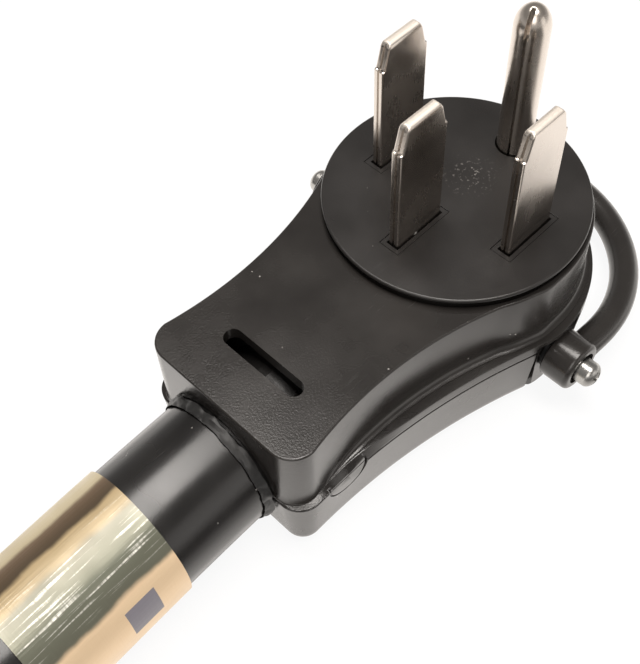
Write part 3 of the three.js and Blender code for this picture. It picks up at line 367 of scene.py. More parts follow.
cord_jacket = dark_plastic("cord jacket", (0.006, 0.0056, 0.0054), (0.011, 0.0102, 0.0098),
                           0.24, 2600.0, 0.00002)
loop_count = round(COIL_TURNS * LOOP_STEPS)
loops = [coil_point(COIL_TURNS * i / loop_count) for i in range(loop_count + 1)]
cord_route = smooth_route(LEAD_ROUTE + loops + TAIL_ROUTE, CORD_STEP)
cord = draw_tube("jacketed_cord", cord_route, CORD_RADIUS, CORD_SIDES)
finish_piece(cord, "plug", "cord_jacket", cord_jacket, "cord_lead", "cord_coil", "cord_tail")

# ---------------------------------------------------------------- label on the cord
# A strip of gold foil wrapped most of the way round the cord near the plug and left open underneath,
# creased and brushed, with one plain grey block on its near side.
# Its reflections are painted on it: light and dark bands across the foil, and a streaked highlight in one of
# them.
LABEL_START_X = -92
LABEL_END_X = -123.9
LABEL_RADIUS = CORD_RADIUS + 0.3
LABEL_THICKNESS = 0.3
LABEL_OPEN_ANGLE = 80
LABEL_STEPS_ALONG = 16
LABEL_STEPS_ROUND = 72
LABEL_SPAN = 0.0728
# Painted reflections: the foil's colour goes through light and dark bands across it.
LABEL_REFLECTION_BANDS = (  # how far across the foil, and its colour there
    (0.385, (0.46, 0.39, 0.25)), (0.4, (0.15, 0.1, 0.06)), (0.455, (0.07, 0.05, 0.03)),
    (0.468, (0.42, 0.32, 0.18)), (0.505, (0.4, 0.32, 0.2)), (0.525, (0.24, 0.23, 0.18)),
    (0.585, (0.2, 0.2, 0.15)), (0.6, (0.13, 0.135, 0.1)), (0.675, (0.09, 0.09, 0.065)),
    (0.69, (0.64, 0.48, 0.31)),
)
BLOCK_ALONG = (0.0067, 0.0137)
BLOCK_ACROSS = (0.0526, 0.0594)


def pull_through(name, rings, closed=False):
    """Draws a face through outline after outline, as a piece is extruded by hand, with the way along
    and across it in its UV map. A closed one is joined to its own start."""
    bpy.ops.mesh.primitive_circle_add(vertices=len(rings[0]), radius=0.01, fill_type="NGON")
    piece = bpy.context.object
    piece.name = name
    bpy.ops.object.mode_set(mode="EDIT")
    mesh = bmesh.from_edit_mesh(piece.data)
    order = mesh.verts.layers.int.new("order")
    stage = mesh.verts.layers.int.new("stage")
    for i, vertex in enumerate(mesh.verts):
        vertex[order] = i
        vertex.co = Vector(rings[0][i]) * MM
    for number, ring in enumerate(rings[1:], 1):
        bpy.ops.mesh.extrude_region_move()
        mesh = bmesh.from_edit_mesh(piece.data)
        order, stage = (mesh.verts.layers.int[key] for key in ("order", "stage"))
        for vertex in (v for v in mesh.verts if v.select):
            vertex[stage] = number
            vertex.co = Vector(ring[vertex[order]]) * MM
    count = len(rings[0])
    along, across = [0.0], [0.0]
    for a, b in zip(rings, rings[1:]):
        along.append(along[-1] + (Vector(b[0]) - Vector(a[0])).length * MM)
    for i in range(count):
        step = Vector(rings[0][(i + 1) % count]) - Vector(rings[0][i])
        across.append(across[-1] + step.length * MM)
    uv = mesh.loops.layers.uv.verify()
    ends = []
    for face in mesh.faces:
        stages = {v[stage] for v in face.verts}
        if len(stages) == 1:
            ends.append(face)
        wraps = {0, count - 1} <= {v[order] for v in face.verts}
        for loop in face.loops:
            at = loop.vert[order]
            loop[uv].uv = (along[loop.vert[stage]], across[count if wraps and at == 0 else at])
    if closed:
        bmesh.ops.delete(mesh, geom=ends, context="FACES_ONLY")
    bmesh.update_edit_mesh(piece.data)
    bpy.ops.mesh.select_all(action="SELECT")
    if closed:
        bpy.ops.mesh.remove_doubles(threshold=0.000002)
    bpy.ops.mesh.normals_make_consistent(inside=False)
    bpy.ops.object.mode_set(mode="OBJECT")
    return piece


def soften(piece, width, segments=3, angle=35, smooth=35):
    """Rounds a piece's sharp edges and smooths its shading."""
    take(piece)
    if width:
        bevel = piece.modifiers.new("soft edges", "BEVEL")
        bevel.width = width * MM
        bevel.segments = segments
        bevel.limit_method = "ANGLE"
        bevel.angle_limit = math.radians(angle)
        bevel.miter_outer = "MITER_ARC"
        bpy.ops.object.modifier_apply(modifier=bevel.name)
    bpy.ops.object.shade_smooth_by_angle(angle=math.radians(smooth))
    even = piece.modifiers.new("even shading", "WEIGHTED_NORMAL")
    even.keep_sharp = True
    bpy.ops.object.modifier_apply(modifier=even.name)


def arc(x, y, radius, start, sweep, steps):
    """Points on a circle, from its start on by a sweep, in degrees."""
    turns = [math.radians(start + sweep * i / steps) for i in range(steps + 1)]
    return [(x + radius * math.cos(turn), y + radius * math.sin(turn)) for turn in turns]


def label_ring(share):
    """The foil's section, outside then inside, where the cord has gone a share of the label's way."""
    x = LABEL_START_X + (LABEL_END_X - LABEL_START_X) * share
    steps = zip(cord_route, cord_route[1:])
    middle = next(a.lerp(b, (a.x - x) / (a.x - b.x)) for a, b in steps if b.x <= x)
    start, sweep = LABEL_OPEN_ANGLE / 2 - 90, 360 - LABEL_OPEN_ANGLE
    ring = []
    for radius, way in ((LABEL_RADIUS + LABEL_THICKNESS, 1), (LABEL_RADIUS, -1)):
        points = arc(middle.y, middle.z, radius, start, sweep, LABEL_STEPS_ROUND)
        ring += [(x, y, z) for y, z in points[::way]]
    return ring


label_foil, tree, shader, where = new_finish("label foil")
map_across = put(tree, "UVMap").outputs[0]
around = axes(map_across)
ring_lines = put(tree, "Mapping", {"Vector": map_across, "Scale": (2200, 150, 1)}).outputs[0]
crinkles = noise(ring_lines, 1.0, 4.0)
long_lines = put(tree, "Mapping", {"Vector": map_across, "Scale": (70, 1500, 1)}).outputs[0]
streaks = noise(long_lines, 1.0, 4.0)
creases = noise(where, 110.0, 4.0)
wander = times(sum_of("SUBTRACT", creases, 0.5), 0.0022)
# The bands of painted reflections, a little wavy along the creases.
reflection_bands = put(tree, "ValToRGB", {0: spread(plus(around["Y"], wander), 0, LABEL_SPAN)})
stops = reflection_bands.color_ramp.elements
for stop, (position, colour) in zip((stops[0], stops[1]), (LABEL_REFLECTION_BANDS[0], LABEL_REFLECTION_BANDS[-1])):
    stop.position = position
    stop.color = (*colour, 1)
for position, colour in LABEL_REFLECTION_BANDS[1:-1]:
    stops.new(position).color = (*colour, 1)
# Painted highlight: pale streaks in one band across the foil.
painted_highlight_band = times(spread(around["Y"], 0.034, 0.038), spread(around["Y"], 0.05, 0.045))
streaked_highlight = times(spread(streaks, 0.56, 0.7), painted_highlight_band)
streaked_highlight = times(streaked_highlight, spread(crinkles, 0.35, 0.6, 0.3, 1.0))
foil_and_reflections = tint(streaked_highlight, reflection_bands.outputs[0], (0.85, 0.83, 0.76, 1))


def window(value, low, high):
    """A mask that is one between two values."""
    return times(sum_of("GREATER_THAN", value, low), sum_of("LESS_THAN", value, high))


grey_block = times(window(around["X"], *BLOCK_ALONG), window(around["Y"], *BLOCK_ACROSS))
foil_and_reflections = tint(grey_block, foil_and_reflections, (0.15, 0.142, 0.165, 1))
foil_height = plus(times(crinkles, 0.35), plus(streaks, creases))
surface(shader, foil_and_reflections, spread(creases, 0.3, 0.7, 0.32, 0.48), foil_height, 0.5, 0.00012)
feed(shader, {"Metallic": spread(grey_block, 0, 1, 0.35, 0.0)})
label_rings = [label_ring(i / LABEL_STEPS_ALONG) for i in range(LABEL_STEPS_ALONG + 1)]
foil_label = pull_through("foil_label", label_rings)
soften(foil_label, 0)
finish_piece(foil_label, "plug", "label_foil", label_foil, "cord_label")

# ---------------------------------------------------------------- straps round the coil
# Two black webbing straps with hook-and-loop ends hold the turns together. Each is a band round all
# the turns, its free end laid back over itself on top and stitched across.
STRAP_ANGLES = (-30, 200)
STRAP_WIDTH = 20
STRAP_THICKNESS = 1.4
STRAP_CLEARANCE = 0.6
STRAP_CORNER = 9
STRAP_CORNER_STEPS = 10
STRAP_END_LENGTH = 62
STRAP_END_STEP = 6
CROSSING_STEPS = 200
CROSSING_WIDTH = 0.04
STRAP_EDGE = 0.35
RIB_PITCH = 0.0012
PICK_PITCH = 0.0011


def strap_reach(degrees):
    """How far in and out from the coil's middle the turns come where a strap crosses them."""
    reach = []
    for i in range(round(COIL_TURNS * CROSSING_STEPS) + 1):
        x, y, _ = coil_point(i / CROSSING_STEPS)
        x, y = x - COIL_ENTRY[0], y - COIL_ENTRY[1] - COIL_OUTER_RADIUS
        if abs(math.sin((math.atan2(y, x) - math.radians(degrees)) / 2)) < CROSSING_WIDTH:
            reach.append(math.hypot(x, y))
    room = CORD_RADIUS + STRAP_CLEARANCE
    return min(reach) - room, max(reach) + room


def strap_path(low, high, grow):
    """The strap's inner line: a rounded oblong in the plane across the turns, and its outward side."""
    a, b = low - grow, high + grow
    c, d = STRAP_THICKNESS - grow, COIL_HEIGHT + LAYER_RISE + CORD_RADIUS + STRAP_CLEARANCE + grow
    corner = STRAP_CORNER + grow
    left, right, bottom, top = a + corner, b - corner, c + corner, d - corner
    line = []
    for x, z, start in ((left, top, 90), (left, bottom, 180), (right, bottom, 270), (right, top, 0)):
        for i in range(STRAP_CORNER_STEPS + 1):
            angle = math.radians(start + 90 * i / STRAP_CORNER_STEPS)
            out = Vector((math.cos(angle), math.sin(angle)))
            line.append((Vector((x, z)) + corner * out, out))
    return line


def strap_section(degrees, point, out, thickness, width):
    """The band's cross-section with rounded edges, where its inner line passes a point."""
    turn = math.radians(degrees)
    away = Vector((math.cos(turn), math.sin(turn), 0))
    along = Vector((-math.sin(turn), math.cos(turn), 0))
    middle = Vector((COIL_ENTRY[0], COIL_ENTRY[1] + COIL_OUTER_RADIUS, 0))
    half = width / 2
    edge = STRAP_EDGE
    outline = [(-half + edge, 0), (half - edge, 0), (half, edge), (half, thickness - edge),
               (half - edge, thickness), (-half + edge, thickness), (-half, thickness - edge), (-half, edge)]
    ring = []
    for across, depth in outline:
        spot = point + out * depth
        ring.append(middle + away * spot.x + along * across + Vector((0, 0, spot.y)))
    return ring


tie_webbing, tree, shader, where = new_finish("tie webbing")
rows = axes(put(tree, "UVMap").outputs[0])
ribs = sum_of("SINE", times(rows["Y"], 2 * math.pi / RIB_PITCH))
picks = sum_of("SINE", times(rows["X"], 2 * math.pi / PICK_PITCH))
fuzz = noise(where, 1500.0, 3.0)
cloth = plus(times(ribs, picks), fuzz)
cloth_tone = tint(spread(cloth, -0.6, 1.6), (0.012, 0.012, 0.013, 1), (0.05, 0.05, 0.052, 1))
surface(shader, cloth_tone, spread(fuzz, 0.3, 0.7, 0.75, 0.95), cloth, 0.7, 0.00015)
shader.inputs["Sheen Weight"].default_value = 0.25

straps = []
for number, degrees in enumerate(STRAP_ANGLES, 1):
    low, high = strap_reach(degrees)
    loop = strap_path(low, high, 0)
    rings = [strap_section(degrees, p, out, STRAP_THICKNESS, STRAP_WIDTH) for p, out in [*loop, loop[0]]]
    strap = pull_through(f"coil_strap_{number}", rings, closed=True)
    soften(strap, 0)
    finish_piece(strap, "plug", "tie_webbing", tie_webbing, f"coil_tie_{number}")
    over = strap_path(low, high, STRAP_THICKNESS + 0.05)
    flat = [over[0][0] + Vector((STRAP_END_LENGTH - STRAP_END_STEP * i, 0)) for i in range(11)]
    tongue = [strap_section(degrees, p, Vector((0, 1)), STRAP_THICKNESS - 0.1, STRAP_WIDTH - 1) for p in flat]
    end = pull_through(f"strap_end_{number}", tongue)
    soften(end, 0)
    finish_piece(end, "plug", "tie_webbing", tie_webbing)
    straps += [strap, end]

# ---------------------------------------------------------------- far connector
# An in-line socket of the same pattern as the plug, moulded in black vinyl: a ribbed boot that keeps
# the cord from kinking, a round fluted shell, and a recessed nylon face over brass sockets.
CONNECTOR_PLACE = Vector((-241, 384.5, 33.3))
BOOT_LENGTH = 42
BOOT_TIP_RADIUS = 16.4
BOOT_RIBS = 4
CONNECTOR_RADIUS = 33
CONNECTOR_LENGTH = 64
CONNECTOR_WALL = 3.2
CONNECTOR_NECK = 23
CLEARANCE = 0.3
CORD_BORE = CORD_RADIUS + CLEARANCE
FLUTES = 18
FLUTE_DEPTH = 0.9
CONNECTOR_FACE_X = (52.5, 62.5)
HOT_SPACING = 35
NEUTRAL_X = -13.1
GROUND_X = 19.1
BLADE_WIDTH = 13.2
BLADE_THICKNESS = 2.5
PIN_RADIUS = 3.8


def turn_piece(name, profile, steps=72):
    """Spins a closed outline of (radius, height) points round Z, as a piece is turned, in one solid."""
    bpy.ops.mesh.primitive_circle_add(vertices=len(profile), radius=0.01)
    piece = bpy.context.object
    piece.name = name
    for vertex, (radius, height) in zip(piece.data.vertices, profile):
        vertex.co = Vector((radius, 0, height)) * MM
    bpy.ops.object.mode_set(mode="EDIT")
    bpy.ops.mesh.select_all(action="SELECT")
    bpy.ops.mesh.spin(steps=steps, angle=2 * math.pi, center=(0, 0, 0), axis=(0, 0, 1))
    bpy.ops.mesh.select_all(action="SELECT")
    bpy.ops.mesh.remove_doubles(threshold=0.000002)
    bpy.ops.mesh.delete_loose()
    bpy.ops.mesh.select_all(action="SELECT")
    bpy.ops.mesh.normals_make_consistent(inside=False)
    bpy.ops.object.mode_set(mode="OBJECT")
    return piece


def rod(name, radius, low, high, steps=72):
    """A plain turned rod between two heights, mostly used to cut with."""
    return turn_piece(name, [(0, low), (radius, low), (radius, high), (0, high)], steps)


TO_X = Matrix.Rotation(math.radians(90), 4, "Y")
TO_Y = Matrix.Rotation(math.radians(-90), 4, "X")


def settle(piece, place, turn=None):
    """Puts a turned or pulled piece in its place, in its mesh."""
    piece.data.transform(Matrix.Translation(Vector(place) * MM) @ (turn or Matrix.Identity(4)))
    piece.data.update()
    return piece


def block(name, low, high):
    """A plain block between two corners, used to cut with."""
    bpy.ops.mesh.primitive_cube_add(size=1)
    piece = bpy.context.object
    piece.name = name
    low, high = Vector(low) * MM, Vector(high) * MM
    piece.data.transform(Matrix.Translation((low + high) / 2) @ Matrix.Diagonal((*(high - low), 1)))
    return piece


def cut(piece, *cutters, operation="DIFFERENCE"):
    """Takes cutters out of a piece, or adds them to it, and throws them away."""
    for cutter in cutters:
        take(piece)
        knife = piece.modifiers.new("cut", "BOOLEAN")
        knife.operation = operation
        knife.solver = "EXACT"
        knife.object = cutter
        bpy.ops.object.modifier_apply(modifier=knife.name)
        bpy.data.objects.remove(cutter, do_unlink=True)
    return piece


body_vinyl = dark_plastic("body vinyl", (0.0138, 0.0123, 0.0114), (0.0205, 0.0183, 0.0166),
                          0.22, 2300.0, 0.00004)
face_nylon = dark_plastic("face nylon", (0.012, 0.0108, 0.0102), (0.017, 0.0153, 0.0145),
                          0.32, 2300.0, 0.00004)

# The grain is deeper towards the plug's cord end.
tree = body_vinyl.node_tree
along = axes(tree.nodes["Texture Coordinate"].outputs["Object"])["X"]
feed(tree.nodes["Bump"], {"Strength": spread(along, -0.03, -0.062, 0.35, 0.85)})

# The plug's face is scraped beside the pin.
SCRAPE_PLACE = (0.0055, 0.001, 0.0386)
SCRAPE_FADE = (0.0015, 0.0065)
tree = face_nylon.node_tree
where = tree.nodes["Texture Coordinate"].outputs["Object"]
away = put(tree, "VectorMath", {0: where, 1: SCRAPE_PLACE}, operation="DISTANCE").outputs["Value"]
pits = noise(where, 1300.0, 2.0, 0.7)
scraped = times(spread(pits, 0.6, 0.68), spread(away, *SCRAPE_FADE, 1.0, 0.0))
shader = tree.nodes["Principled BSDF"]
tone = shader.inputs["Base Color"].links[0].from_socket
feed(shader, {"Base Color": tint(scraped, tone, (0.2, 0.19, 0.18, 1))})

boot_profile = [(CORD_BORE, -CLEARANCE), (CORD_BORE, -BOOT_LENGTH), (BOOT_TIP_RADIUS, -BOOT_LENGTH)]
rib_pitch = (BOOT_LENGTH - 6) / BOOT_RIBS
for i in range(BOOT_RIBS):
    near = 4 - BOOT_LENGTH + rib_pitch * i
    far = near + 0.83 * rib_pitch
    crest = BOOT_TIP_RADIUS + (CONNECTOR_NECK - 1 - BOOT_TIP_RADIUS) * (i + 1) / BOOT_RIBS
    boot_profile += [(crest - 1, near), (crest, near + 2), (crest, far - 1.5), (crest - 1, far)]
boot_profile.append((CONNECTOR_NECK - 0.5, -CLEARANCE))
boot = settle(turn_piece("ribbed_boot", boot_profile), CONNECTOR_PLACE, TO_X)
soften(boot, 0.4)
finish_piece(boot, "plug", "body_vinyl", body_vinyl, "connector_boot")


def fluted_ring(x, radius, depth):
    """A round outline with shallow finger flutes."""
    ring = []
    for i in range(FLUTES * 8):
        angle = 2 * math.pi * i / (FLUTES * 8)
        r = radius - depth * max(0, math.cos(FLUTES * angle)) ** 2
        ring.append((x, r * math.cos(angle), r * math.sin(angle)))
    return ring


shell_rings = [
    fluted_ring(x, radius, depth)
    for x, radius, depth in (
        (0, CONNECTOR_NECK - 0.5, 0), (0.5, CONNECTOR_NECK, 0), (6, CONNECTOR_NECK + 1, 0), (20, 31.5, 0),
        (22, 32.5, 0), (24, 32.9, 0), (27, CONNECTOR_RADIUS, 0), (29, CONNECTOR_RADIUS, 0.4 * FLUTE_DEPTH),
        (32, CONNECTOR_RADIUS, FLUTE_DEPTH), (46, CONNECTOR_RADIUS, FLUTE_DEPTH),
        (49, CONNECTOR_RADIUS, 0.4 * FLUTE_DEPTH), (51, CONNECTOR_RADIUS, 0),
        (CONNECTOR_LENGTH - 1, CONNECTOR_RADIUS, 0), (CONNECTOR_LENGTH - 0.3, 32.7, 0),
        (CONNECTOR_LENGTH, 32, 0),
    )
]
connector_shell = settle(pull_through("far_connector_shell", shell_rings), CONNECTOR_PLACE)
shell_inner = CONNECTOR_RADIUS - CONNECTOR_WALL
bore = turn_piece("bore", [(0, -1), (CORD_BORE, -1), (CORD_BORE, 10), (shell_inner, 22),
                           (shell_inner, CONNECTOR_LENGTH + 1), (0, CONNECTOR_LENGTH + 1)])
cut(connector_shell, settle(bore, CONNECTOR_PLACE, TO_X))
soften(connector_shell, 0.3)
finish_piece(connector_shell, "plug", "body_vinyl", body_vinyl, "connector_shell")

x0, x1 = CONNECTOR_FACE_X
connector_face = settle(rod("far_connector_face", shell_inner - CLEARANCE, x0, x1), CONNECTOR_PLACE, TO_X)
half = Vector((0, BLADE_THICKNESS / 2 + CLEARANCE, BLADE_WIDTH / 2 + CLEARANCE))
for y, z in ((HOT_SPACING / 2, 0), (-HOT_SPACING / 2, 0), (0, NEUTRAL_X)):
    low = CONNECTOR_PLACE + Vector((x0 - 1, y, z)) - half
    high = CONNECTOR_PLACE + Vector((x1 + 1, y, z)) + half
    cut(connector_face, block("slot", low, high))
hole = rod("hole", PIN_RADIUS + CLEARANCE, x0 - 1, x1 + 1, 32)
cut(connector_face, settle(hole, CONNECTOR_PLACE + Vector((0, 0, GROUND_X)), TO_X))
soften(connector_face, 0.35)
finish_piece(connector_face, "plug", "face_nylon", face_nylon, "connector_face")


NICK_GLINT_COLOUR = (0.95, 0.93, 0.9, 1)


def drawn_metal(name, dark, light, rough, lines):
    """Plated or plain metal: drawn lines, slow waves that bend its reflections, and small nicks, each a dent
    with a painted glint.
    """
    material, tree, shader, where = new_finish(name)
    drawn = put(tree, "Mapping", {"Vector": where, "Scale": lines}).outputs[0]
    brushing = noise(drawn, 6.0, 4.0)
    patches = noise(where, 90.0, 3.0)
    spots = put(tree, "TexVoronoi", {"Vector": where, "Scale": 150.0}).outputs
    rare = sum_of("GREATER_THAN", axes(spots["Color"])["X"], 0.84)
    dents_and_glints = times(spread(spots["Distance"], 0.06, 0.1, 1.0, 0.0), rare)
    height = plus(times(brushing, 0.015), times(patches, 2.2))
    height = sum_of("SUBTRACT", height, dents_and_glints)
    gloss = plus(spread(brushing, 0.3, 0.7, -0.01, 0.015),
                 spread(patches, 0.3, 0.7, rough - 0.04, rough + 0.08))
    gloss = plus(gloss, times(dents_and_glints, 0.4))
    # Painted glint: each nick is a dent painted a pale colour.
    tone = tint(dents_and_glints, tint(patches, (*dark, 1), (*light, 1)), NICK_GLINT_COLOUR)
    surface(shader, tone, gloss, height, 0.25, 0.0002)
    shader.inputs["Metallic"].default_value = 1.0
    return material


def dress(node, material):
    """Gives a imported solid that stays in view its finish."""
    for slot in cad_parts[node].material_slots:
        slot.material = material


brass = drawn_metal("brass", (0.55, 0.4, 0.18), (0.75, 0.58, 0.3), 0.32, (12, 400, 400))
dress("connector_core", face_nylon)
sockets = ["socket_hot_left", "socket_hot_right", "socket_neutral", "socket_ground"]
for node in sockets:
    dress(node, brass)

# ---------------------------------------------------------------- conductors, crimps and clamp
# Inside the plug the jacket is cut back and gripped by a saddle. Three stranded copper conductors and
# the ground, each in its own colour, run to brass crimp lugs on the contacts' tails.
copper = drawn_metal("copper strands", (0.6, 0.3, 0.16), (0.8, 0.46, 0.28), 0.35, (12, 900, 900))
INSULATION = {
    "hot_left": ("red insulation", (0.42, 0.03, 0.02), (0.55, 0.06, 0.04)),
    "hot_right": ("black insulation", (0.02, 0.02, 0.02), (0.03, 0.03, 0.03)),
    "neutral": ("white insulation", (0.62, 0.6, 0.56), (0.75, 0.74, 0.7)),
    "ground": ("green insulation", (0.02, 0.16, 0.05), (0.04, 0.25, 0.08)),
}
for name, (finish, dark, light) in INSULATION.items():
    dress(name + "_conductor", dark_plastic(finish, dark, light, 0.4, 1500.0, 0.00005))
    dress(name + "_crimp", brass)
    dress(name + "_copper", copper)
dress("jacket_end", cord_jacket)
dress("cord_clamp", face_nylon)

# ---------------------------------------------------------------- blades
# Three flat contacts folded from nickel-plated strip: two hot ones across the face and the neutral
# nearer the cord. The fold shows as a groove down each narrow edge, and the tip tapers from a shoulder.
FACE_HEIGHT = 38.6
BLADE_LENGTH = 32.2
BLADE_SHOULDER = 26.2
BLADE_TIP_WIDTH = 8.8
SHOULDER_STEP = 0.45
FOLD_GROOVE = 0.5
FOLD_HALF_WIDTH = 0.16
EDGE_ROUNDING = 0.42
CARRIER_BOTTOM = 26
HOT_X = 0.9
BLADES = {
    "hot_blade_left": (HOT_X, HOT_SPACING / 2, 16),
    "hot_blade_right": (HOT_X, -HOT_SPACING / 2, 16),
    "neutral_blade": (NEUTRAL_X, 0, 8.5),
}


def rounded(x, y, across, up, steps, angle=90):
    """Points round an edge from its side to its top, where its sharp corner would be at (x, y)."""
    turns = [math.radians(angle * i / steps) for i in range(steps + 1)]
    return [(x - across * (1 - math.cos(turn)), y - up * (1 - math.sin(turn))) for turn in turns]


def blade_section(z, half_width, half_thickness, groove):
    """One level of a blade: a flat oblong with round corners and a fold groove at each end."""
    rounding = min(EDGE_ROUNDING, half_thickness * 0.45)
    lip = min(FOLD_HALF_WIDTH, half_thickness * 0.3)
    fold = [(half_width - groove, 0), (half_width - groove * 0.7, lip * 0.6), (half_width, lip + 0.1)]
    side = fold + rounded(half_width, half_thickness, rounding, rounding, 4)
    upper = side + [(-x, y) for x, y in side[::-1]]
    lower = [(x, -y) for x, y in upper[1:-1]][::-1]
    return [(x, y, z) for x, y in upper + lower]


def blade_rings(tail):
    """The levels of a blade from the end of its tail to its tip."""
    half, thick = BLADE_WIDTH / 2, BLADE_THICKNESS / 2
    tip = BLADE_TIP_WIDTH / 2
    shoulder, top = FACE_HEIGHT + BLADE_SHOULDER, FACE_HEIGHT + BLADE_LENGTH
    levels = [
        (CARRIER_BOTTOM - tail, 4, thick, 0), (CARRIER_BOTTOM - 3, 4, thick, 0),
        (CARRIER_BOTTOM - 2.9, half, thick, FOLD_GROOVE), (shoulder - 0.25, half, thick, FOLD_GROOVE),
        (shoulder, half - 0.12, thick, FOLD_GROOVE),
        (shoulder + 0.12, half - SHOULDER_STEP, thick, FOLD_GROOVE),
        (shoulder + 0.5, half - SHOULDER_STEP - 0.15, thick, FOLD_GROOVE),
        (top - 1.2, tip + 0.55, thick - 0.02, FOLD_GROOVE * 0.7),
        (top - 0.6, tip + 0.2, thick - 0.06, FOLD_GROOVE * 0.4),
        (top - 0.36, tip + 0.05, thick - 0.18, 0.1), (top - 0.17, tip - 0.1, thick - 0.42, 0),
        (top - 0.06, tip - 0.25, thick - 0.72, 0), (top, tip - 0.45, thick - 1, 0),
    ]
    return [blade_section(*level) for level in levels]


nickel_plate = drawn_metal("nickel plate", (0.46, 0.415, 0.375), (0.62, 0.565, 0.51), 0.23, (400, 400, 12))

# The cut ends of the strip are matt and pale.
tree = nickel_plate.node_tree
place = axes(tree.nodes["Texture Coordinate"].outputs["Object"])
blade_top = (FACE_HEIGHT + BLADE_LENGTH) * MM
not_the_pin = sum_of("LESS_THAN", place["X"], 0.012)
cut_end = times(spread(place["Z"], blade_top - 0.0005, blade_top - 0.0002), not_the_pin)
shader = tree.nodes["Principled BSDF"]
tone, gloss = (shader.inputs[key].links[0].from_socket for key in ("Base Color", "Roughness"))
feed(shader, {"Base Color": tint(cut_end, tone, (0.8, 0.74, 0.67, 1)),
              "Roughness": spread(cut_end, 0, 1, gloss, 0.55)})
for node, (x, y, tail) in BLADES.items():
    blade = settle(pull_through(node.replace("blade", "contact"), blade_rings(tail)), (x, y, 0))
    soften(blade, 0, smooth=40)
    finish_piece(blade, "plug", "nickel_plate", nickel_plate, node)

# ---------------------------------------------------------------- ground pin
# A round pin rolled from the same plated strip, longer than the blades, with a domed tip. Its seam
# runs down the side towards the cord and opens into a notch at the tip.
PIN_LENGTH = 37.2
PIN_SEAM = 0.5
PIN_SEAM_ANGLE = 199
PIN_TAIL_WIDTH = 6.4

pin_top = FACE_HEIGHT + PIN_LENGTH
dome = PIN_RADIUS * 1.35
pin_profile = [(0, CARRIER_BOTTOM - 3), (PIN_RADIUS, CARRIER_BOTTOM - 3)]
pin_profile += [*rounded(PIN_RADIUS, pin_top, PIN_RADIUS, dome, 12)[:-1], (0, pin_top)]
pin = turn_piece("round_pin", pin_profile)
for name, inner, half, low in (("seam", 0.55, PIN_SEAM / 2, FACE_HEIGHT - 3),
                               ("notch", 0.2, PIN_SEAM, pin_top - dome * 1.1)):
    opening = block(name, (PIN_RADIUS * inner, -half, low), (PIN_RADIUS + 1, half, pin_top + 1))
    cut(pin, settle(opening, (0, 0, 0), Matrix.Rotation(math.radians(PIN_SEAM_ANGLE), 4, "Z")))
half = Vector((PIN_TAIL_WIDTH / 2, BLADE_THICKNESS / 2, 0))
tail = block("tail", Vector((0, 0, CARRIER_BOTTOM - 17)) - half, Vector((0, 0, CARRIER_BOTTOM - 2)) + half)
cut(pin, tail, operation="UNION")
settle(pin, (GROUND_X, 0, 0))
soften(pin, 0.15, segments=2)
finish_piece(pin, "plug", "nickel_plate", nickel_plate, "ground_pin")

# ---------------------------------------------------------------- plug body
# Two hollow halves moulded in charcoal vinyl that meet at a parting line: the lower is broader and
# rounded underneath, and the upper steps in over a narrow shelf to a flat top with a long hole. Round
# the cord end's corners the shelf runs down to the parting line.
PARTING_HEIGHT = 17.4
PARTING_GAP = 0.3
LEDGE_HEIGHT = 20.5
LEDGE_FILLET = 1.7
LEDGE_BEAD = 0.18
TOP_PLATE_HEIGHT = 36.15
TOP_ROUNDING = 0.4
BOTTOM_ROUNDING = 4.5
BOTTOM_DRAFT = 1
WALL = 3
UPPER = {"headX": 0, "headRadius": 29.2, "waist": 19.3, "waistX": -47, "flare": 91,
         "endX": -69.2, "corner": 5.6, "creaseX": -16}
LOWER = {"headX": -2, "headRadius": 32.5, "waist": 22, "waistX": -60, "flare": 157,
         "endX": -69.6, "corner": 5.3, "creaseX": -2}
HEAD_STEPS, FLARE_STEPS, CORNER_STEPS = 48, 44, 10
HEAD_BLEND = 1.2
SMALLEST_CORNER = 1.5
SLOPE_X = (-38, -60)
SHOULDER_SLOPE = 1.3
SINK_X = (-50, -67)
SINK_FOOT = 0.4
SINK_LEFT = 0.15
WALL_LEVELS = (26, 30, 34)
CORD_EXIT_HEIGHT = 16.5
CORD_BORE_START = -72
JACKET_INNER_X = -47.5
CARRIER_RADIUS = 24
WELL_RADIUS = 28.2
WELL_DEPTH = 1.1
SLOT_X, SLOT_LENGTH, SLOT_WIDTH = -56.5, 20.8, 4
MARK_X, MARK_RADIUS, MARK_DEPTH = -56, 5.3, 0.12
MARK_GROOVE_WIDTH, MARK_GROOVE_DEPTH = 0.45, 0.4
PIVOT_X = -0.7
PIVOT_HEIGHT = 11.8
POCKET_Y = 30.2
POCKET_HALF_LENGTH = 7.1
POCKET_SLOT_WIDTH = 1.7
POCKET_SLOT_DEPTH = 1.8
POCKET_TOP = 19.3
POCKET_OVERRUN = 3.7
INSERT_RADIUS = 4
INSERT_DEPTH = 7


def flare_at(s, x):
    """Half-width of the hollow side at x."""
    return s["waist"] + s["flare"] - math.sqrt(s["flare"] ** 2 - (x - s["waistX"]) ** 2)


def half_width(s, x):
    """The body's half-width at x: the hollow side until it is as wide as the head, then the head."""
    side, head = flare_at(s, x), s["headRadius"]
    mix = clamp(0.5 + 0.5 * (side - head) / HEAD_BLEND)
    side = side + (head - side) * mix - HEAD_BLEND * mix * (1 - mix)
    boss = math.sqrt(max(head**2 - (x - s["headX"]) ** 2, 0)) if x > s["creaseX"] else 0
    return max(side, boss)


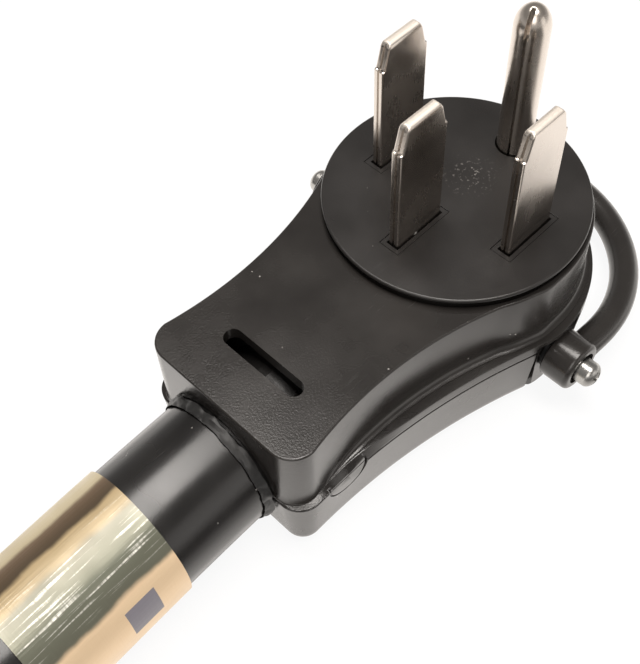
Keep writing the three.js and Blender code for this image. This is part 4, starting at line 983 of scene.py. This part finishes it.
def outline(shape, inset=0):
    """The body in plan: a round head, hollow sides and a squared end for the cord, drawn in by inset."""
    s = dict(shape, corner=max(shape["corner"] - inset, SMALLEST_CORNER))
    for key, way in (("headRadius", -1), ("waist", -1), ("flare", 1), ("endX", 1)):
        s[key] += way * inset
    corner_x = s["endX"] + s["corner"]
    corner_y = half_width(s, corner_x) - s["corner"]
    half = arc(s["headX"], 0, s["headRadius"], 0, 90, HEAD_STEPS)
    for i in range(1, FLARE_STEPS):
        x = s["headX"] + (corner_x - s["headX"]) * i / FLARE_STEPS
        half.append((x, half_width(s, x)))
    half += arc(corner_x, corner_y, s["corner"], 90, 90, CORNER_STEPS)
    return half + [(x, -y) for x, y in half[:0:-1]]


def eased(x, start, end):
    """A smooth turn from 0 at the start to 1 at the end."""
    share = clamp((start - x) / (start - end))
    return share**2 * (3 - 2 * share)


def sunk(height, x):
    """A height at x: round the cord end's corners the shelf runs down to the parting line."""
    foot, top = PARTING_HEIGHT + SINK_FOOT, WALL_LEVELS[0]
    if not foot < height < top:
        return height
    share = min((height - foot) / (LEDGE_HEIGHT - foot), (top - height) / (top - LEDGE_HEIGHT))
    return height - (LEDGE_HEIGHT - foot - SINK_LEFT) * share * eased(x, *SINK_X)


def skin_ring(height, share, inset=0, slope=0):
    """A ring of the body's skin: share 0 is the upper outline and 1 the lower one. The slope takes
    the lower one in towards the cord's end."""
    ring = []
    for (a, b), (c, d) in zip(outline(UPPER, inset), outline(LOWER, inset)):
        d -= math.copysign(min(slope * eased(c, *SLOPE_X), abs(d - b)), d)
        ring.append((a + (c - a) * share, b + (d - b) * share, sunk(height, c)))
    return ring


def shelf_ring(height, reach):
    """A ring that stands out from the upper outline by its reach, short of the lower one."""
    ring = []
    for a, b in zip(skin_ring(height, 0), skin_ring(height, 1, 0, SHOULDER_SLOPE)):
        a, b = Vector(a), Vector(b)
        ring.append(tuple(a + (b - a) * min(reach / (b - a).length, 0.8 * reach / LEDGE_FILLET)))
    return ring


def prism(name, ring, low, high):
    """A flat outline pulled straight up between two heights."""
    return pull_through(name, [[(x, y, z) for x, y, *_ in ring] for z in (low, high)])


def to_side(piece, side):
    """Lays a turned piece on the pivots' line, to one side of the body."""
    return settle(piece, (PIVOT_X, 0, PIVOT_HEIGHT), TO_Y if side > 0 else TO_Y.inverted())


def seat_cuts():
    """The flat seats of the bail's barrels, the slot beside each and the bores of the inserts."""
    cutters = []
    for side in (1, -1):
        x0, x1 = PIVOT_X - POCKET_HALF_LENGTH, PIVOT_X + POCKET_HALF_LENGTH
        outer = LOWER["headRadius"] + POCKET_OVERRUN
        for inner, x in ((POCKET_Y, x1), (POCKET_Y - POCKET_SLOT_DEPTH, x0 + POCKET_SLOT_WIDTH)):
            y0, y1 = sorted((side * inner, side * outer))
            cutters.append(block("seat", (x0, y0, -1), (x, y1, POCKET_TOP)))
        bore = rod("bore", INSERT_RADIUS + CLEARANCE, POCKET_Y - INSERT_DEPTH - CLEARANCE, POCKET_Y + 1, 40)
        cutters.append(to_side(bore, side))
    return cutters


def inner_cuts():
    """What both halves are cut with: the cord's way in, the seats, and the shallow round mark across
    the parting line, with a fine groove at its rim."""
    cord_bore = rod("bore", CORD_BORE, CORD_BORE_START, JACKET_INNER_X, 96)
    floor = LOWER["waist"] - MARK_DEPTH
    groove = floor - MARK_GROOVE_DEPTH
    inner = MARK_RADIUS - MARK_GROOVE_WIDTH
    mark = turn_piece("mark", [(0, floor), (inner, floor), (inner, groove), (MARK_RADIUS, groove),
                               (MARK_RADIUS, floor + 3), (0, floor + 3)], 64)
    return [*seat_cuts(), settle(cord_bore, (0, 0, CORD_EXIT_HEIGHT), TO_X),
            settle(mark, (MARK_X, 0, PARTING_HEIGHT), TO_Y.inverted())]


bottom = rounded(0, BOTTOM_DRAFT, -BOTTOM_ROUNDING, -BOTTOM_ROUNDING, 8)
rings = [skin_ring(height, 1, inset) for height, inset in bottom]
rings += [skin_ring(PARTING_HEIGHT - PARTING_GAP / 2 - drop, 1, inset)
          for drop, inset in ((0.25, 0.02), (0.07, 0.09), (0, 0.27))]
lower_half = pull_through("plug_lower_half", rings)
cut(lower_half, prism("cavity", outline(UPPER, WALL), WALL, PARTING_HEIGHT + 1), *inner_cuts())
soften(lower_half, 0.25, segments=2)
finish_piece(lower_half, "plug", "body_vinyl", body_vinyl, "lower_shell")

rings = [skin_ring(PARTING_HEIGHT + PARTING_GAP / 2 + rise, 1, inset)
         for rise, inset in ((0, 0.27), (0.07, 0.09), (0.25, 0))]
rings += [skin_ring(LEDGE_HEIGHT - drop, 1, inset, SHOULDER_SLOPE * slope)
          for drop, inset, slope in ((2.4, 0, 0.1), (1.2, 0, 0.6), (0.2, 0, 1), (0.06, 0.06, 1), (0, 0.2, 1))]
bead_height = LEDGE_HEIGHT + LEDGE_BEAD
rings += [shelf_ring(LEDGE_HEIGHT + 0.01, LEDGE_FILLET + 0.12), shelf_ring(bead_height, LEDGE_FILLET + 0.08)]
fillet = rounded(0, bead_height, -LEDGE_FILLET, -LEDGE_FILLET, 8, 86)
rings += [shelf_ring(height, reach) for reach, height in fillet[::-1]]
rings += [skin_ring(height, 0) for height in WALL_LEVELS]
brim = rounded(0, TOP_PLATE_HEIGHT, -TOP_ROUNDING, TOP_ROUNDING, 5)
rings += [skin_ring(height, 0, inset) for inset, height in brim]
upper_half = pull_through("plug_upper_half", rings)
slot_end, slot_radius = (SLOT_LENGTH - SLOT_WIDTH) / 2, SLOT_WIDTH / 2
slot = arc(SLOT_X, slot_end, slot_radius, 0, 180, 12) + arc(SLOT_X, -slot_end, slot_radius, 180, 180, 12)
ceiling = TOP_PLATE_HEIGHT - WALL
cut(upper_half, prism("cavity", outline(UPPER, WALL), PARTING_HEIGHT - 1, ceiling),
    rod("hole", CARRIER_RADIUS + CLEARANCE, ceiling - 1, 40, 96),
    rod("well", WELL_RADIUS, TOP_PLATE_HEIGHT - WELL_DEPTH, 40, 144),
    prism("slot", slot, ceiling - 1, TOP_PLATE_HEIGHT + 1), *inner_cuts())
soften(upper_half, 0.25, segments=2)
finish_piece(upper_half, "plug", "body_vinyl", body_vinyl, "upper_shell")

# ---------------------------------------------------------------- cord entry collar
# Where the vinyl was moulded onto the jacket it has crept out in a thin, torn and wrinkled collar.
COLLAR_ENDS = (-72.1, -69.9)
COLLAR_LIP = 14.7
COLLAR_RADIUS = 15.3
COLLAR_BAND = 0.6

near, far = COLLAR_ENDS
collar_profile = [(CORD_BORE, far), (CORD_BORE, near), (COLLAR_LIP, near)]
for i in range(1, 7):
    collar_profile.append((COLLAR_LIP + (COLLAR_RADIUS - COLLAR_LIP) * i / 6,
                           near + (far - COLLAR_BAND - near) * i / 6))
collar_profile.append((COLLAR_RADIUS, far))
collar = settle(turn_piece("cord_entry_collar", collar_profile, 160), (0, 0, CORD_EXIT_HEIGHT), TO_X)
torn = bpy.data.textures.new("torn edge", "CLOUDS")
torn.noise_scale = 0.0022
torn.noise_depth = 3
crumple = collar.modifiers.new("crumple", "DISPLACE")
crumple.texture = torn
crumple.texture_coords = "LOCAL"
crumple.strength = 0.0011
crumple.mid_level = 0.62
take(collar)
bpy.ops.object.modifier_apply(modifier=crumple.name)
soften(collar, 0, smooth=60)
crept_vinyl = dark_plastic("crept vinyl", (0.005, 0.005, 0.005), (0.011, 0.0105, 0.01), 0.5, 1500.0, 0.0001)
finish_piece(collar, "plug", "body_vinyl", crept_vinyl, "entry_collar")

# ---------------------------------------------------------------- plug face
# A round nylon plate with a thin lip over a dark groove. The carrier's flat bosses come up flush
# through its windows, and the contacts stand in them.
FACE_RADIUS = 28.5
LIP_THICKNESS = 0.8
NECK_RADIUS = 26.3
FACE_ROUNDING = 0.45
WINDOW_MARGIN = 1.32

plate_bottom = TOP_PLATE_HEIGHT + CLEARANCE
skirt = CARRIER_RADIUS + 2 * CLEARANCE
foot = plate_bottom - WELL_DEPTH
lip = FACE_HEIGHT - LIP_THICKNESS
face_profile = [
    (0, plate_bottom), (skirt, plate_bottom), (skirt, foot), (NECK_RADIUS, foot), (NECK_RADIUS, lip),
    (FACE_RADIUS - 0.1, lip), (FACE_RADIUS, lip + 0.1),
    *rounded(FACE_RADIUS, FACE_HEIGHT, FACE_ROUNDING, FACE_ROUNDING, 5), (0, FACE_HEIGHT),
]
face = turn_piece("plug_face", face_profile, 144)
half = Vector((BLADE_WIDTH / 2 + WINDOW_MARGIN, BLADE_THICKNESS / 2 + WINDOW_MARGIN, 5))
for x, y, _ in BLADES.values():
    middle = Vector((x, y, FACE_HEIGHT))
    cut(face, block("window", middle - half, middle + half))
cut(face, settle(rod("hole", PIN_RADIUS + CLEARANCE, 30, 40, 48), (GROUND_X, 0, 0)))
soften(face, 0.12, segments=2)
finish_piece(face, "plug", "face_nylon", face_nylon, "face_plate")
dress("contact_carrier", face_nylon)

# ---------------------------------------------------------------- pull bail
# A round vinyl rod bent in a U with a barrel moulded on each end. It turns on the two pivot screws
# and lies a little below level, round the end of the plug.
BARREL_RADIUS = 5.8
BARREL_ENDS = (31.4, 38.4)
BARREL_ROUNDING = 1.1
BAIL_RADIUS = 34.9
BAIL_ARM = 10.1
BAIL_DROOP = 6.3
ROD_RADIUS = 3.3
SCREW_RADIUS = 1.9
HEAD_RECESS_RADIUS = 3.9
HEAD_RECESS_DEPTH = 1.2

bend = [(x, y, 0) for x, y in arc(BAIL_ARM, 0, BAIL_RADIUS, 90, -180, 45)]
arms = [[(x, y, 0) for x in (0, BAIL_ARM / 2)] for y in (BAIL_RADIUS, -BAIL_RADIUS)]
bail = draw_tube("pull_bail", [*arms[0], *bend, *arms[1][::-1]], ROD_RADIUS, 32)
settle(bail, (PIVOT_X, 0, PIVOT_HEIGHT), Matrix.Rotation(math.radians(BAIL_DROOP), 4, "Y"))
near, far = BARREL_ENDS
recess = far - HEAD_RECESS_DEPTH
barrel_profile = [
    (0, near), (BARREL_RADIUS - 0.3, near), (BARREL_RADIUS, near + 0.3),
    *rounded(BARREL_RADIUS, far, BARREL_ROUNDING, BARREL_ROUNDING, 6), (0, far),
]
for side in (1, -1):
    cut(bail, to_side(turn_piece("barrel", barrel_profile, 64), side), operation="UNION")
for side in (1, -1):
    cut(bail, to_side(rod("bore", SCREW_RADIUS + CLEARANCE, near - 1, far + 1, 40), side),
        to_side(rod("recess", HEAD_RECESS_RADIUS, recess, far + 1, 40), side))
soften(bail, 0.25, angle=40, smooth=40)
finish_piece(bail, "bail", "body_vinyl", body_vinyl, "bail_handle")

# ---------------------------------------------------------------- pivot screws and inserts
# Bright steel screws with domed cross-slot heads go through the barrels into black steel inserts that
# are moulded into the body; each insert's flange keeps the barrel off its seat.
SCREW_HEAD_RADIUS = 2.9
SCREW_HEAD_STRAIGHT = 3.1
SCREW_HEAD_DOME = 1.9

screw_tip = POCKET_Y - INSERT_DEPTH + 1.8
seat = recess + CLEARANCE
screw_end = seat + SCREW_HEAD_STRAIGHT + SCREW_HEAD_DOME
screw_profile = [
    (0, screw_tip), (SCREW_RADIUS - 0.4, screw_tip), (SCREW_RADIUS, screw_tip + 0.6), (SCREW_RADIUS, seat),
    (SCREW_HEAD_RADIUS - 0.15, seat), (SCREW_HEAD_RADIUS, seat + 0.15),
    *rounded(SCREW_HEAD_RADIUS, screw_end, SCREW_HEAD_RADIUS, SCREW_HEAD_DOME, 10)[:-1], (0, screw_end),
]
screw_steel = drawn_metal("screw steel", (0.3, 0.3, 0.29), (0.46, 0.45, 0.43), 0.26, (300, 60, 300))
black_steel = drawn_metal("black steel", (0.025, 0.025, 0.026), (0.05, 0.05, 0.05), 0.4, (300, 60, 300))
for name, side in (("left", 1), ("right", -1)):
    screw = turn_piece(name + "_bail_screw", screw_profile, 48)
    for turn in (45, 135):
        cross = block("cross", (-1.6, -0.35, screw_end - 1.3), (1.6, 0.35, screw_end + 1))
        cut(screw, settle(cross, (0, 0, 0), Matrix.Rotation(math.radians(turn), 4, "Z")))
    soften(to_side(screw, side), 0.08, segments=2)
    finish_piece(screw, "plug", "steel", screw_steel, "pivot_screw_" + name)
    dress("pivot_insert_" + name, black_steel)

# ---------------------------------------------------------------- bounds of everything that renders, but the sheet
low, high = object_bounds()
